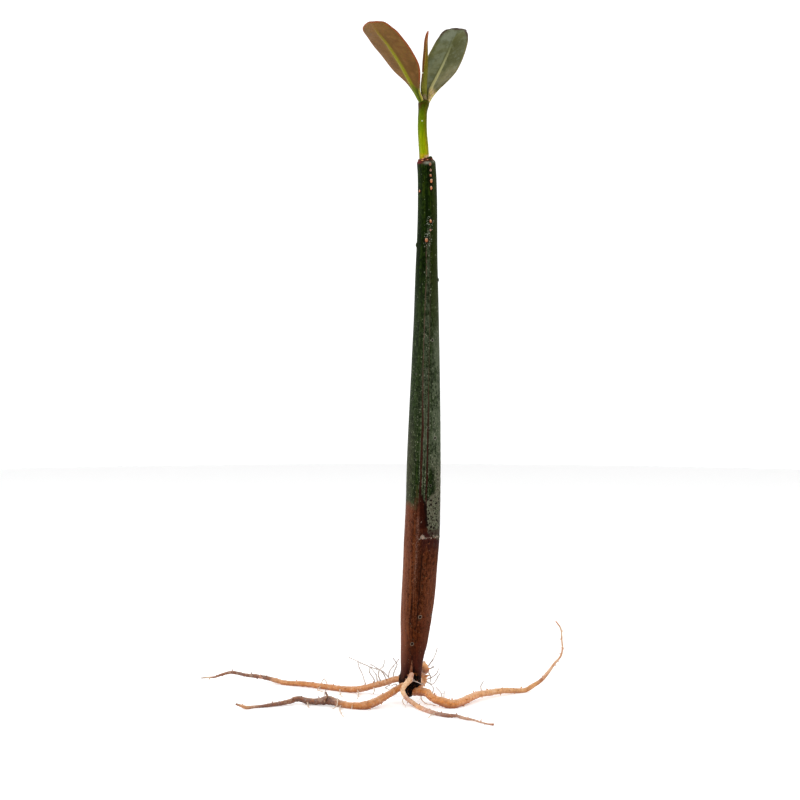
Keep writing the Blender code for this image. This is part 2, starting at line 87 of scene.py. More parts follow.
# The collar: the torn lip round the socket that the stem comes out of. Each ring's x, height, radius, and
# how much higher its right side is than its middle.
COLLAR_LIP = (
    (6.3, 227.4, 3.75, 0.25), (6.1, 227.8, 3.35, 0.35), (5.9, 228.3, 3, 0.5), (5.8, 228.8, 2.85, 0.6),
    (5.7, 228.9, 2.5, 0.55), (5.6, 228.6, 2.2, 0.5),
)
COLLAR_STEP = 0.2
SOCKET_FLOOR = 226.8

# Scales of cork that peel off the collar: their rise, then x, y, z, half width and half height of each.
SCALE_RISE = 0.3
COLLAR_SCALES = (
    (5.1, -2.7, 228.75, 0.5, 0.28), (4.75, -3.05, 227.95, 0.5, 0.3), (6.9, -2.9, 228.2, 0.4, 0.2),
)

# Lenticels: their rise, then height, angle, half width, half height and how pale the cork is, for each.
LENTICEL_RISE = 0.42
LENTICELS = (
    (226.4, 22.6, 0.55, 0.75, 0.45), (223.9, 23, 0.5, 0.65, 0.3), (221.7, 20.6, 0.55, 0.6, 0.6),
    (219.4, 23, 0.62, 1, 0.9), (216.5, 21.8, 0.5, 0.95, 1), (215.2, -52.5, 0.5, 0.6, 0.9),
    (202.7, 17.8, 0.5, 0.75, 0.75), (199, 18, 0.45, 0.5, 0.35), (194.8, -4, 0.68, 0.9, 0.7),
    (192.7, -80, 0.6, 0.9, 0), (178.1, 84, 0.6, 0.8, 0),
)

# Scars with a pale ring round a dark pit: height, angle, radius, depth of the pit, how pale the ring is.
SCARS = (
    (153.1, 28, 0.8, 0.1, 1), (141.1, 2.1, 0.6, 0.05, 0.7), (138.9, -39.5, 0.5, 0, 0.7),
    (116.5, 15, 0.7, 0.1, 0.5), (112.1, 40.3, 0.95, 0.25, 1), (106.9, 63.1, 0.9, 0.15, 0.4),
    (103, -27, 0.5, 0.05, 0.8), (94.5, 57.4, 1.1, 0.2, 0.8), (92.2, 23.7, 0.75, 0.2, 0.5),
    (36.8, 12.9, 1, 0.3, 0.9), (37.1, 67.3, 0.9, 0.1, 0.9), (25.2, -9.3, 0.95, 0.25, 0.8),
    (58, -70, 0.7, 0.1, 0.2), (88, 160, 1.1, 0.2, 0.7), (121, -150, 1, 0.2, 0.7), (64, 130, 1, 0.2, 0.5),
    (150, 140, 0.9, 0.15, 0.7), (44, -140, 1, 0.2, 0.4), (182, 170, 0.8, 0.1, 0.6),
)

# Two veins run down the front: height and angle.
LEFT_VEIN = (
    (88, -10.7), (104.7, -8.2), (117, -6.6), (130, -10.3), (140, -11.2), (165, -8.3), (177, -2.2),
    (195, -3.8),
)
RIGHT_VEIN = (
    (60, 12), (88, 9.6), (101, 11.9), (125, 12.3), (140, 13.1), (156, 15.3), (176, 17.3), (202, 17.8),
)

# The line where green skin meets brown: angle and height, the whole way round.
BROWN_LINE = (
    (-180, 74), (-120, 80), (-68, 84.2), (-44, 82.8), (-26, 82), (-19, 83.8), (-15, 88.5), (-10.5, 91.4),
    (-6, 89), (0, 86.8), (6, 85.8), (11, 84), (13, 79), (18, 72.5), (27, 70.8), (66, 69.8), (120, 68),
    (180, 74),
)

# The stem: the length that its colours follow, then middle and radius, from inside the socket up to the
# ring that the leaves grow from.
STEM_LENGTH = 26.5
STEM_ROUTE = (
    (5.5, 0, 227.1, 2), (5.45, 0, 229.8, 2.05), (5.3, 0, 232.5, 2.05), (4.75, 0, 240, 1.95),
    (4.7, 0, 244, 1.92), (4.95, 0, 249, 1.97), (5.3, 0, 251.6, 2.3), (5.4, 0, 252.4, 2.15),
    (5.4, 0, 252.9, 1.7), (5.4, 0, 253.1, 0.8),
)

# The leaf bud: the same, from inside the stem's top up to its tip.
BUD_LENGTH = 31
BUD_ROUTE = (
    (5.5, 0, 251.8, 0.8), (5.6, 0, 253, 1), (5.45, 0, 255.5, 1.35), (5.3, 0, 257.5, 1.42),
    (5.65, 0, 263.4, 1.27), (5.9, 0, 269.6, 1.2), (6.1, 0, 273.8, 0.98), (6.27, 0, 277.9, 0.76),
    (6.6, 0, 279.9, 0.6), (6.9, 0, 281, 0.45), (7.2, 0, 281.8, 0.15),
)

# Leaves: midrib (x, y, z), then the half width on the side towards -X and on the side towards +X.
LEAF_THICK = 0.55
PETIOLE_THICK = 1.5
PETIOLE_END = 3.6
BLADE_START = 9.6
LEAF_FOLD = math.radians(10)
LEAF_STEP = 0.45
LEAF_ACROSS = 44
RIB_LENGTH = 42
TOP_RIB_LENGTH = 40
LEFT_LEAF_AZIMUTH = math.radians(225)
LEFT_LEAF_ROUTE = (
    (4.6, -0.5, 251.4, 0.9, 0.9), (3.7, -1.2, 253.2, 1.4, 1.4), (2.7, -2.2, 255.6, 2.1, 1.5),
    (0.1, -5, 259.7, 3.3, 4.6), (-2.4, -7.5, 264.3, 8.2, 7.7), (-6.3, -11.5, 270.7, 10.8, 9.1),
    (-10.4, -15.5, 276.4, 11.6, 9), (-14, -19.2, 280.6, 9.2, 8.5), (-15.4, -21, 282.6, 4.9, 7.3),
    (-15.9, -21.7, 283.3, 2.9, 6.7), (-16.3, -22.4, 283.9, 1.1, 5.6), (-16.5, -22.7, 284.2, 0.3, 3),
)
RIGHT_LEAF_AZIMUTH = math.radians(56)
RIGHT_LEAF_ROUTE = (
    (6.6, 0.4, 251.4, 0.9, 0.9), (7.5, 1, 253.2, 0.9, 0.9), (8.1, 1.8, 255.6, 1.8, 2.8),
    (9, 3.5, 258.6, 4.6, 6.4), (11.3, 7, 263.3, 7.2, 9.7), (13.6, 10.5, 268.1, 8.5, 10.1),
    (16.1, 14.5, 273.9, 8.5, 9.6), (18.2, 18, 279.1, 7.5, 7.9), (19.6, 19.8, 282, 6.3, 5.8),
    (20.1, 20.3, 282.7, 5.3, 4.8), (20.5, 20.8, 283.4, 3.7, 3), (20.8, 21.1, 283.9, 1.9, 0.9),
)

# Roots: middle (x, y, z) and radius, from inside the hypocotyl out to the tip.
ROOT_SIDES = 28
ROOT_STEP = 0.35
ROOT_ROUTES = {
    "root_front": (
        (1.5, -1, 13, 1.2), (0, -4.7, 11.4, 1.15), (-0.5, -6.5, 10.1, 1.35), (-2.5, -8, 8.2, 1.15),
        (-3.5, -9, 6.3, 1.05), (-2.5, -10.5, 4, 1), (0.8, -14, 1.7, 1), (5.3, -24.5, 0.85, 1),
        (10, -33, 0.75, 0.95), (14.3, -38, 0.75, 0.9), (18.5, -41, 1.1, 0.75), (22, -44, 0.6, 0.6),
        (25, -47, 0.6, 0.45), (28.3, -51.5, 0.4, 0.4), (31.5, -55.5, 0.35, 0.35), (33, -57, 0.5, 0.5),
    ),
    "root_left_front": (
        (-1, -1, 7.9, 1.5), (-4.5, -4.5, 6.6, 1.5), (-7, -7.5, 5.6, 1.45), (-10, -11, 4.4, 1.5),
        (-14.5, -16, 2.55, 1.8), (-19.5, -20, 1.6, 1.8), (-24, -18.5, 1.3, 1.5), (-29.5, -15, 1.5, 1.5),
        (-34.5, -11.5, 2.4, 1.9), (-39, -10, 1.6, 1.55), (-44, -8, 1.6, 1.35), (-47, -7, 2.2, 1.3),
        (-48.5, -7.5, 2.15, 1.25), (-50.5, -9, 1.5, 1.1), (-53.5, -11, 1.2, 0.98), (-58.5, -14, 0.9, 0.85),
        (-62.5, -16, 0.65, 0.7), (-65.5, -17, 0.6, 0.65), (-68.5, -19.5, 0.75, 0.85), (-71, -18, 1.2, 0.6),
        (-73, -16.5, 1.6, 0.5),
    ),
    "root_left_back": (
        (-1, 1, 9, 1.3), (-6.5, 4, 8.6, 1.4), (-10, 7.5, 6.9, 1.4), (-15, 12, 4.8, 1.4), (-20, 16, 2.8, 1.4),
        (-25, 20.5, 1.4, 1.4), (-30.5, 24, 1.2, 1.35), (-35.5, 28, 1.15, 1.3), (-45.5, 35, 1.3, 1.2),
        (-56, 41, 1.1, 1.1), (-60, 44.5, 1.6, 1.05), (-66.5, 47, 2.6, 0.95), (-72.5, 49.5, 2.9, 0.8),
        (-76, 51.5, 3.3, 0.75), (-79, 52, 3.6, 0.7), (-84, 52.5, 2.3, 0.55), (-86, 53, 1.5, 0.45),
        (-90.5, 54.5, 0.9, 0.35), (-92.5, 55, 0.6, 0.25),
    ),
    "root_right": (
        (0.5, -1, 4, 1.5), (2.8, -3.6, 4.6, 1.75), (6.5, -8, 5, 1.75), (9.5, -13, 3.3, 1.6),
        (13, -16, 2.5, 1.95), (17, -17, 1.55, 1.95), (20.5, -13, 1.75, 1.75), (24.5, -6, 2.2, 1.6),
        (28.5, 1.5, 2.5, 1.45), (32.5, 6.5, 2.3, 1.4), (36.5, 11.5, 2.1, 1.3), (40.5, 15.5, 1.8, 1.25),
        (45, 19, 1.2, 1.15), (49, 21.5, 0.9, 1.1), (53, 24.5, 2.6, 1), (56.5, 27, 4.4, 0.85),
        (59.5, 28, 7.6, 0.72), (62, 28.5, 11.1, 0.6), (65, 28, 15, 0.45), (65.6, 27, 18.5, 0.42),
        (65.2, 26, 22, 0.4), (64.6, 24.5, 27.5, 0.35), (62.5, 24, 30.5, 0.25),
    ),
    "root_back": (
        (1.5, 1, 14, 1.2), (4.4, 3.6, 14.9, 1.5), (6.1, 6, 12.5, 1.75), (5, 8.2, 9.8, 1),
        (5.7, 10.5, 7.6, 1.15), (5, 15, 5, 1.2), (3.5, 22, 2.2, 1.15), (2.3, 29, 1.1, 1.1),
        (0.5, 39, 0.9, 0.9), (-0.8, 45.5, 0.9, 0.7), (-1, 50.5, 0.7, 0.45),
    ),
}

# Thorns on the shoulder of a root: how finely they are made, the radius of their points, and for each one
# foot, point and radius at the foot.
THORN_SIDES = 9
THORN_STEP = 0.3
THORN_TIP = 0.12
THORNS = {
    "root_back": (
        ((6.4, 6, 12.6), (8.3, 5.8, 13), 1),
        ((5.2, 6.2, 13.6), (5.6, 5.9, 16.3), 1.1),
        ((6.2, 8.8, 9.2), (8.2, 8.6, 9.6), 0.6),
    ),
    "root_right": (
        ((3, -3.6, 6), (4.2, -3.9, 7.4), 0.6),
        ((9.6, -12.8, 4.4), (10, -12.4, 5.8), 0.5),
    ),
}

# Dark twigs that stand on a root: middle (x, y, z) and radius. They take the colour that the bark has at
# this run.
TWIG_RUN = 88.3
TWIGS = {
    "root_left_front": (
        (
            (-36.3, -13.2, 1.8, 0.30), (-35.9, -13.3, 2.8, 0.46), (-35.3, -13, 3.8, 0.44),
            (-35.1, -12, 4.4, 0.50), (-35.5, -11.6, 5.1, 0.42), (-35.7, -11.3, 5.8, 0.36),
        ),
    ),
}

# Rootlets and the hairs on them: how finely they are made and how thick they are.
ROOTLET_SIDES = 7
ROOTLET_STEP = 0.5
ROOTLET_RADIUS = 0.27
ROOTLET_TIP = 0.16
HAIR_SPACING = 1.7
HAIR_RADII = (0.09, 0.07, 0.04)
HAIR_LOWEST = 0.15

# Stubs of broken rootlets: rows from one to the next, rows left bare at each end of a root, and the radius
# inside the bark, at its surface and at the point.
STUB_ROWS = 7
STUB_MARGIN = 8
STUB_RADII = (0.36, 0.27, 0.09)

# The route of each rootlet, listed by root: middle (x, y, z), from inside the root out to the tip.
ROOTLETS = {
    "root_front": (
        ((-2.5, -10.5, 4), (-3.6, -13.5, 2.6), (-2.4, -18, 1.2)),
        ((-0.5, -6.5, 10), (2, -7.5, 9.6), (5, -8.6, 8.4)),
        ((10, -33, 1), (8, -38, 0.7), (7, -42, 0.4)),
    ),
    "root_left_front": (
        ((-30.5, -14.5, 1.7), (-30.5, -17, 4), (-31.2, -22, 1.5), (-32.4, -24, 0.9)),
        ((-29.5, -15, 1.2), (-29.5, -24, 0.5), (-27.8, -40, 0.4)),
        ((-9.5, -10.5, 4.2), (-9, -8, 6), (-10.8, -5, 6.6), (-8.7, -3, 7.4)),
        ((-35, -11.3, 2.6), (-36.3, -10, 4.6), (-35.6, -9, 6.4)),
        ((-43.5, -8.3, 1.3), (-43, -14, 0.6), (-42.4, -19, 0.4)),
        ((-24.5, -19, 1.7), (-24.6, -22.4, 0.8)),
        ((-6.3, -6.6, 6), (-6.2, -6.2, 8.2), (-8.2, -8.6, 8)),
    ),
    "root_left_back": (
        ((-8.5, 6, 8), (-12, 9, 11.2), (-17, 14, 12.1), (-21.5, 17, 13.6), (-26.5, 19, 15.6)),
        ((-10, 7.5, 7), (-12.2, 4, 11.8), (-17.4, 1, 15.8)),
        ((-19, 15.3, 3.2), (-20.6, 18, 8.1), (-22.5, 21, 12.1), (-22.7, 22, 14.6)),
        ((-15, 12, 4.8), (-15.8, 11, 7.6), (-17.6, 8, 11.4), (-17.4, 7, 13.2)),
        ((-14.2, 11.3, 5.2), (-15, 15, 9), (-17.1, 17, 11.4)),
        ((-12.3, 9.5, 6), (-13.7, 8, 9.5), (-13.4, 7, 12), (-11.6, 8, 13.8), (-11.3, 9, 16.2)),
        ((-7.8, 5.3, 8), (-7.1, 8, 11.1), (-6, 11, 14.2), (-7.6, 12, 16.4)),
        ((-9.5, 7, 7.2), (-8.9, 5, 12.2), (-6.6, 6, 14.9), (-5, 8, 16.7)),
        ((-30.5, 24, 1.2), (-30.2, 15, 0.5), (-29.3, 8, 0.4)),
        ((-23, 19, 2), (-22.4, 13, 1.3), (-22.5, 4, 0.4)),
        ((-16, 12.8, 4.4), (-15.6, 9.6, 2.6), (-16, 8.6, 1.5)),
        ((-38.5, 30.2, 1.4), (-40.2, 25, 0.7), (-37.6, 20, 0.4)),
        ((-36, 28.4, 1.3), (-36.4, 29, 3), (-37.4, 30, 4.4), (-38.8, 31.4, 2.4)),
    ),
    "root_right": (
        ((13.2, -16, 3), (12.5, -15, 6), (10.3, -14, 8.5)),
        ((13.6, -16.2, 3), (13.9, -17.5, 7.2)),
        ((30.3, 3.8, 2.6), (29.8, 6, 5.4), (31, 8, 7.2)),
        ((4.6, -5.2, 4.8), (4.3, -4.6, 1.8), (5.6, -6.4, 0.5), (8, -10.5, 0.4), (10.2, -12.5, 0.4)),
        ((8.6, -11.4, 4.8), (9.5, -9, 6.8), (8.6, -7.6, 8.2)),
    ),
    "root_back": (
        ((6.6, 7, 12.8), (8.7, 8, 15.4), (10.3, 9, 18), (11.3, 9, 21.2)),
        ((6.2, 12.6, 7), (8.4, 13, 7.7), (11.2, 13, 9.8), (11.9, 14, 11.4)),
        ((6.2, 13, 6.4), (8.7, 12, 5.2), (12.4, 9, 10.3)),
        ((6.8, 7.4, 12), (8.4, 8, 9.2), (8.1, 8, 5.9)),
        ((6.8, 6.8, 12.8), (8.7, 6, 13.1), (9.7, 5, 13.8), (8.9, 5, 14.3)),
        ((2.7, 27, 1.6), (1.2, 31, 4), (-0.8, 33, 4.6)),
    ),
}

# Colours of the plant, as linear red, green and blue.
BOTTLE_GREEN = (0.007, 0.017, 0.0012)
NIGHT_GREEN = (0.004, 0.009, 0.001)
MOSS_GREEN = (0.022, 0.042, 0.005)
FERN_GREEN = (0.040, 0.055, 0.004)
OLIVE = (0.030, 0.038, 0.005)
TEAL_GREY = (0.075, 0.090, 0.058)
BLOOM_TEAL = (0.110, 0.128, 0.082)
BLOOM_GREY = (0.102, 0.089, 0.062)
DUST = (0.19, 0.20, 0.14)
SPECK_WHITE = (0.70, 0.74, 0.58)
# Painted highlight on the bevel below the collar's lip.
PAINTED_HIGHLIGHT_GREY = (0.24, 0.25, 0.20)
CRUMB_WHITE = (0.45, 0.47, 0.40)
CRUST = (0.35, 0.245, 0.195)
SCAR_GREY = (0.22, 0.21, 0.17)
PITCH = (0.010, 0.004, 0.003)
VEIN_PINK = (0.110, 0.075, 0.055)
VEIN_MAROON = (0.050, 0.012, 0.010)
HEART_MAROON = (0.026, 0.004, 0.002)
DARK_BROWN = (0.040, 0.010, 0.003)
RED_BROWN = (0.105, 0.027, 0.007)
RUST = (0.18, 0.056, 0.012)
SIENNA = (0.26, 0.090, 0.035)
UPPER_SHADE = (0.84, 0.80, 0.80)
DUSKY_PINK = (0.200, 0.078, 0.046)
DUST_PINK = (0.19, 0.11, 0.085)
PLUM = (0.036, 0.0095, 0.010)
DARK_RED = (0.085, 0.018, 0.011)
SOOT = (0.005, 0.003, 0.003)
CORK_PALE = (0.70, 0.32, 0.16)
CORK_DARK = (0.16, 0.050, 0.022)
TAN_BROWN = (0.30, 0.145, 0.085)
CORK_GREY = (0.36, 0.22, 0.16)
CORK_RED = (0.50, 0.14, 0.05)
MAROON = (0.155, 0.018, 0.022)
DARK_MAROON = (0.045, 0.006, 0.006)
LIME = (0.265, 0.325, 0.001)
LEAF_LIME = (0.165, 0.24, 0.001)
GRASS = (0.102, 0.150, 0.001)
DEEP_GRASS = (0.045, 0.060, 0.001)
STEM_OLIVE = (0.14, 0.125, 0.002)
STEM_YELLOW = (0.40, 0.32, 0.010)
NODE_BROWN = (0.075, 0.035, 0.004)
NODE_OLIVE = (0.060, 0.056, 0.003)
BRONZE = (0.198, 0.102, 0.029)
BRONZE_DARK = (0.140, 0.068, 0.017)
BRONZE_LIGHT = (0.215, 0.115, 0.030)
RUSSET = (0.20, 0.080, 0.024)
OLIVE_BROWN = (0.17, 0.115, 0.020)
RIM_RED = (0.30, 0.078, 0.024)
RIM_PURPLE = (0.060, 0.032, 0.024)
RIB_YELLOW = (0.245, 0.235, 0.014)
PETIOLE_LIME = (0.125, 0.155, 0.002)
PETIOLE_SHADE = (0.070, 0.095, 0.001)
PETIOLE_EDGE = (0.33, 0.32, 0.045)
LEAF_GREEN = (0.092, 0.104, 0.042)
LEAF_OLIVE = (0.132, 0.134, 0.052)
# Painted sheen on the upper side of the leaves.
LEAF_SHEEN = (0.185, 0.200, 0.135)
LEAF_MOSS = (0.080, 0.082, 0.024)
LEAF_TAN = (0.180, 0.158, 0.070)
RIB_CREAM = (0.52, 0.42, 0.15)
STALK_PINK = (0.60, 0.43, 0.27)
BUD_OLIVE = (0.060, 0.062, 0.002)
BUD_BROWN = (0.150, 0.063, 0.006)
BUD_RED = (0.30, 0.080, 0.030)
BUD_YELLOW = (0.175, 0.165, 0.024)
ORANGE = (0.74, 0.31, 0.088)
GOLD = (0.84, 0.43, 0.17)
DARK_ORANGE = (0.52, 0.19, 0.05)
TAN = (0.74, 0.39, 0.165)
PEACH = (0.76, 0.47, 0.30)
ROSE = (0.66, 0.38, 0.28)
PURPLE_BROWN = (0.24, 0.125, 0.095)
PLUM_BARK = (0.20, 0.105, 0.080)
RED_BARK = (0.27, 0.118, 0.065)
COPPER = (0.605, 0.252, 0.078)
LIGHT_COPPER = (0.58, 0.29, 0.125)
PALE_BARK = (0.54, 0.34, 0.24)
CREAM_PEACH = (0.87, 0.57, 0.34)
BARK_RED = (0.38, 0.13, 0.05)
BARK_SHADE = (0.40, 0.13, 0.030)
DARK_TIP = (0.10, 0.045, 0.03)
CREAM = (0.80, 0.62, 0.45)
# Painted shade that darkens the undersides of the roots.
PAINTED_UNDERSIDE_SHADE = (0.47, 0.30, 0.17)
HAIR_BROWN = (0.42, 0.34, 0.29)
HAIR_GREY = (0.64, 0.57, 0.53)

# How colours follow one another along the stem, the bud and the midribs: share of the length, and colour.
STEM_STOPS = (
    (0, CORK_PALE), (0.05, STEM_YELLOW), (0.11, STEM_YELLOW), (0.15, LIME), (0.36, LIME), (0.56, LEAF_LIME),
    (0.78, GRASS), (0.93, DEEP_GRASS), (1, PETIOLE_SHADE),
)
STEM_EDGE_STOPS = (
    (0, CORK_PALE), (0.08, STEM_YELLOW), (0.30, (0.30, 0.25, 0.003)), (0.45, (0.20, 0.175, 0.002)),
    (0.80, STEM_OLIVE), (1, NODE_OLIVE),
)
BUD_LAPPING_STOPS = (
    (0, BUD_OLIVE), (0.2, (0.195, 0.190, 0.030)), (0.4, BUD_YELLOW), (0.52, (0.18, 0.150, 0.008)),
    (0.66, (0.18, 0.125, 0.010)), (0.8, (0.23, 0.115, 0.030)), (0.92, (0.34, 0.10, 0.050)),
    (1, (0.45, 0.14, 0.10)),
)
BUD_UNDER_STOPS = (
    (0, BUD_OLIVE), (0.2, (0.088, 0.088, 0.002)), (0.42, BUD_BROWN), (0.7, BUD_BROWN),
    (0.85, (0.22, 0.080, 0.025)), (0.95, BUD_RED),
)
RIB_STOPS = (
    (0.15, (0.19, 0.20, 0.008)), (0.4, RIB_YELLOW), (0.7, (0.235, 0.215, 0.020)),
    (0.9, (0.225, 0.165, 0.026)), (1, BRONZE_LIGHT),
)
TOP_RIB_STOPS = (
    (0.15, (0.46, 0.42, 0.19)), (0.45, (0.33, 0.32, 0.155)), (0.75, (0.18, 0.185, 0.09)), (1, LEAF_GREEN),
)


class Level:
    """A number that may change over the surface. Sums with it add Math nodes."""

    def __init__(self, patterns, socket):
        self.patterns = patterns
        self.socket = socket

    def maths(self, operation, first, second=0.0):
        values = {0: first, 1: second}
        return Level(self.patterns, self.patterns.node("ShaderNodeMath", {"operation": operation}, values))

    def __add__(self, other):
        return self.maths("ADD", self, other)

    def __sub__(self, other):
        return self.maths("SUBTRACT", self, other)

    def __rsub__(self, other):
        return self.maths("SUBTRACT", other, self)

    def __mul__(self, other):
        return self.maths("MULTIPLY", self, other)

    def __truediv__(self, other):
        return self.maths("DIVIDE", self, other)

    def __pow__(self, other):
        return self.maths("POWER", self, other)

    def __abs__(self):
        return self.maths("ABSOLUTE", self)

    def sine(self):
        return self.maths("SINE", self)

    def most(self, other):
        return self.maths("MAXIMUM", self, other)

    def least(self, other):
        return self.maths("MINIMUM", self, other)

    def rise(self, low, high):
        """0 below low, 1 above high, smooth between; the other way round when low is the greater."""
        if low > high:
            return 1 - self.rise(high, low)
        settings = {"interpolation_type": "SMOOTHSTEP"}
        values = {"Value": self, "From Min": low, "From Max": high}
        return Level(self.patterns, self.patterns.node("ShaderNodeMapRange", settings, values))

    def within(self, start, low, high, end):
        """0 below start, 1 from low to high, 0 above end, smooth between."""
        return self.rise(start, low) * self.rise(end, high)

    def near(self, middle, outer, inner):
        """1 within inner of the middle, 0 further than outer from it, smooth between."""
        return abs(self - middle).rise(outer, inner)

    __radd__ = __add__
    __rmul__ = __mul__


class Patterns:
    """The nodes of one tree, fed with numbers, colours and each other."""

    def __init__(self, tree):
        self.tree = tree

    def node(self, kind, settings=None, values=None, output=0):
        """One node: its settings first, then the values or links of its sockets."""
        made = self.tree.nodes.new(kind)
        for key, value in (settings or {}).items():
            setattr(made, key, value)
        for key, value in (values or {}).items():
            self.feed(made.inputs[key], value)
        return made.outputs[output]

    def feed(self, socket, value):
        if isinstance(value, Level):
            value = value.socket
        if isinstance(value, bpy.types.NodeSocket):
            self.tree.links.new(value, socket)
        elif isinstance(value, tuple) and socket.type == "RGBA":
            socket.default_value = (*value, 1.0)
        else:
            socket.default_value = value

    def parts(self, vector):
        """The three numbers of a vector."""
        apart = self.node("ShaderNodeSeparateXYZ", None, {0: vector}).node
        return [Level(self, output) for output in apart.outputs]


class Finish(Patterns):
    """A material whose shader is fed by named patterns."""

    def __init__(self, name, **fixed):
        self.material = bpy.data.materials.new(name)
        self.material.use_nodes = True
        super().__init__(self.material.node_tree)
        self.shader = self.tree.nodes["Principled BSDF"]
        for socket, value in fixed.items():
            self.shader.inputs[socket.replace("_", " ")].default_value = value

    def mark(self, name):
        """Three numbers that the mesh carries under this name."""
        return self.parts(self.node("ShaderNodeAttribute", {"attribute_name": name}, output=1))

    def spot(self, x, y, z):
        """The place on the object in millimetres, times these."""
        place = self.node("ShaderNodeTexCoord", output=3)
        scale = (x / MM, y / MM, z / MM)
        return self.node("ShaderNodeVectorMath", {"operation": "MULTIPLY"}, {0: place, 1: scale})

    def noise(self, x, y, z, detail=2.0, roughness=0.5):
        """Smooth noise from 0 to 1, with about x, y and z lumps a millimetre."""
        values = {"Vector": self.spot(x, y, z), "Scale": 1.0, "Detail": detail, "Roughness": roughness}
        return Level(self, self.node("ShaderNodeTexNoise", None, values))

    def specks(self, x, y, z, share, size):
        """Scattered dots, about x, y and z of them a millimetre. Only this share shows, in several sizes."""
        values = {"Vector": self.spot(x, y, z), "Scale": 1.0}
        away = self.node("ShaderNodeTexVoronoi", None, values)
        chance, growth, _ = self.parts(away.node.outputs["Color"])
        edge = Level(self, away) + growth * size * 0.5
        return edge.rise(size, size * 0.6) * (chance + share).rise(1.0, 1.04)

    def mix(self, share, first, second, blend="MIX"):
        settings = {"data_type": "RGBA", "blend_type": blend, "clamp_factor": True}
        return self.node("ShaderNodeMix", settings, {0: share, 6: first, 7: second}, output=2)

    def shade(self, share, colour, tint):
        """The colour times a tint, as far as the share says."""
        return self.mix(share, colour, tint, "MULTIPLY")

    def coats(self, colour, *coats):
        """The colour under coats of others. Each coat is how far it covers, from 0 to 1, and its colour."""
        for share, tint in coats:
            colour = self.mix(share, colour, tint)
        return colour

    def ramp(self, value, stops):
        """Colours that follow one another as the value goes up. Stops are values and colours."""
        colour = self.node("ShaderNodeValToRGB", None, {"Fac": value})
        elements = colour.node.color_ramp.elements
        while len(elements) < len(stops):
            elements.new(0.5)
        for element, (place, tint) in zip(elements, stops):
            element.position = place
            element.color = (*tint, 1.0)
        return colour

    def skin(self, colour, roughness, relief=None, depth=0.1):
        """Feeds the shader: colour, roughness, and a bump of this depth in millimetres."""
        self.feed(self.shader.inputs["Base Color"], colour)
        self.feed(self.shader.inputs["Roughness"], roughness)
        if relief is not None:
            values = {"Strength": 1.0, "Distance": depth * MM, "Height": relief}
            self.feed(self.shader.inputs["Normal"], self.node("ShaderNodeBump", None, values))
        return self.material


def smooth_route(points, step):
    """Samples about a step apart on a smooth curve through the points. What follows x, y, z rides along."""
    points = np.array(points, float)
    lengths = np.linalg.norm(np.diff(points[:, :3], axis=0), axis=1)[:, None]
    rates = np.diff(points, axis=0) / lengths
    inner = (rates[:-1] * lengths[1:] + rates[1:] * lengths[:-1]) / (lengths[1:] + lengths[:-1])
    slopes = np.vstack((rates[:1], inner, rates[-1:]))
    samples = []
    for i, length in enumerate(lengths[:, 0]):
        parts = max(1, round(length / step))
        t = (np.arange(parts) / parts)[:, None]
        samples.append(
            (2 * t**3 - 3 * t**2 + 1) * points[i]
            + (t**3 - 2 * t**2 + t) * length * slopes[i]
            + (3 * t**2 - 2 * t**3) * points[i + 1]
            + (t**3 - t**2) * length * slopes[i + 1]
        )
    return np.vstack((*samples, points[-1:]))


def unit(vectors):
    return vectors / np.linalg.norm(vectors, axis=-1, keepdims=True)


def tangents(middles):
    ahead = np.vstack((middles[1:], middles[-1:]))
    behind = np.vstack((middles[:1], middles[:-1]))
    return unit(ahead - behind)


def side_vectors(along):
    """A direction across each sample, level where the route is level, with no twist from one to the next."""
    start = int(np.argmin(np.abs(along[:, 2])))
    across = np.zeros_like(along)
    across[start] = unit(np.cross(along[start], UP))
    order = [(i, i - 1) for i in range(start + 1, len(along))]
    order += [(i, i + 1) for i in range(start - 1, -1, -1)]
    for i, before in order:
        across[i] = unit(across[before] - across[before].dot(along[i]) * along[i])
    return across


def run_lengths(middles):
    return np.concatenate(([0.0], np.cumsum(np.linalg.norm(np.diff(middles, axis=0), axis=1))))


def grain(points, size, seed=0.0):
    """Smooth noise from -1 to 1 at each point, with lumps of about this size in millimetres (x, y, z)."""
    scaled = points.reshape(-1, 3) / np.array(size) + seed
    return np.array([noise.noise(place) for place in scaled.tolist()]).reshape(points.shape[:-1])


def bump(value, middle, width):
    """1 at the middle, falling to nothing a few widths away."""
    return np.exp(-(((value - middle) / width) ** 2))


def climb(value, low, high):
    """0 at low and 1 at high, straight between and level past both."""
    return np.clip((value - low) / (high - low), 0, 1)


def line_distance(x, y, corners):
    """How far each point lies from the line through the corners, whose x and y may be arrays too."""
    best = np.inf
    for (ax, ay), (bx, by) in zip(corners, corners[1:]):
        dx, dy = bx - ax, by - ay
        share = np.clip(((x - ax) * dx + (y - ay) * dy) / (dx**2 + dy**2), 0, 1)
        best = np.minimum(best, np.hypot(x - ax - share * dx, y - ay - share * dy))
    return best


def angle_between(a, b):
    return np.abs((a - b + math.pi) % (2 * math.pi) - math.pi)


def stacked(*values):
    """Grids of numbers, or single ones, side by side as vectors."""
    return np.stack(np.broadcast_arrays(*values), -1).astype(float)


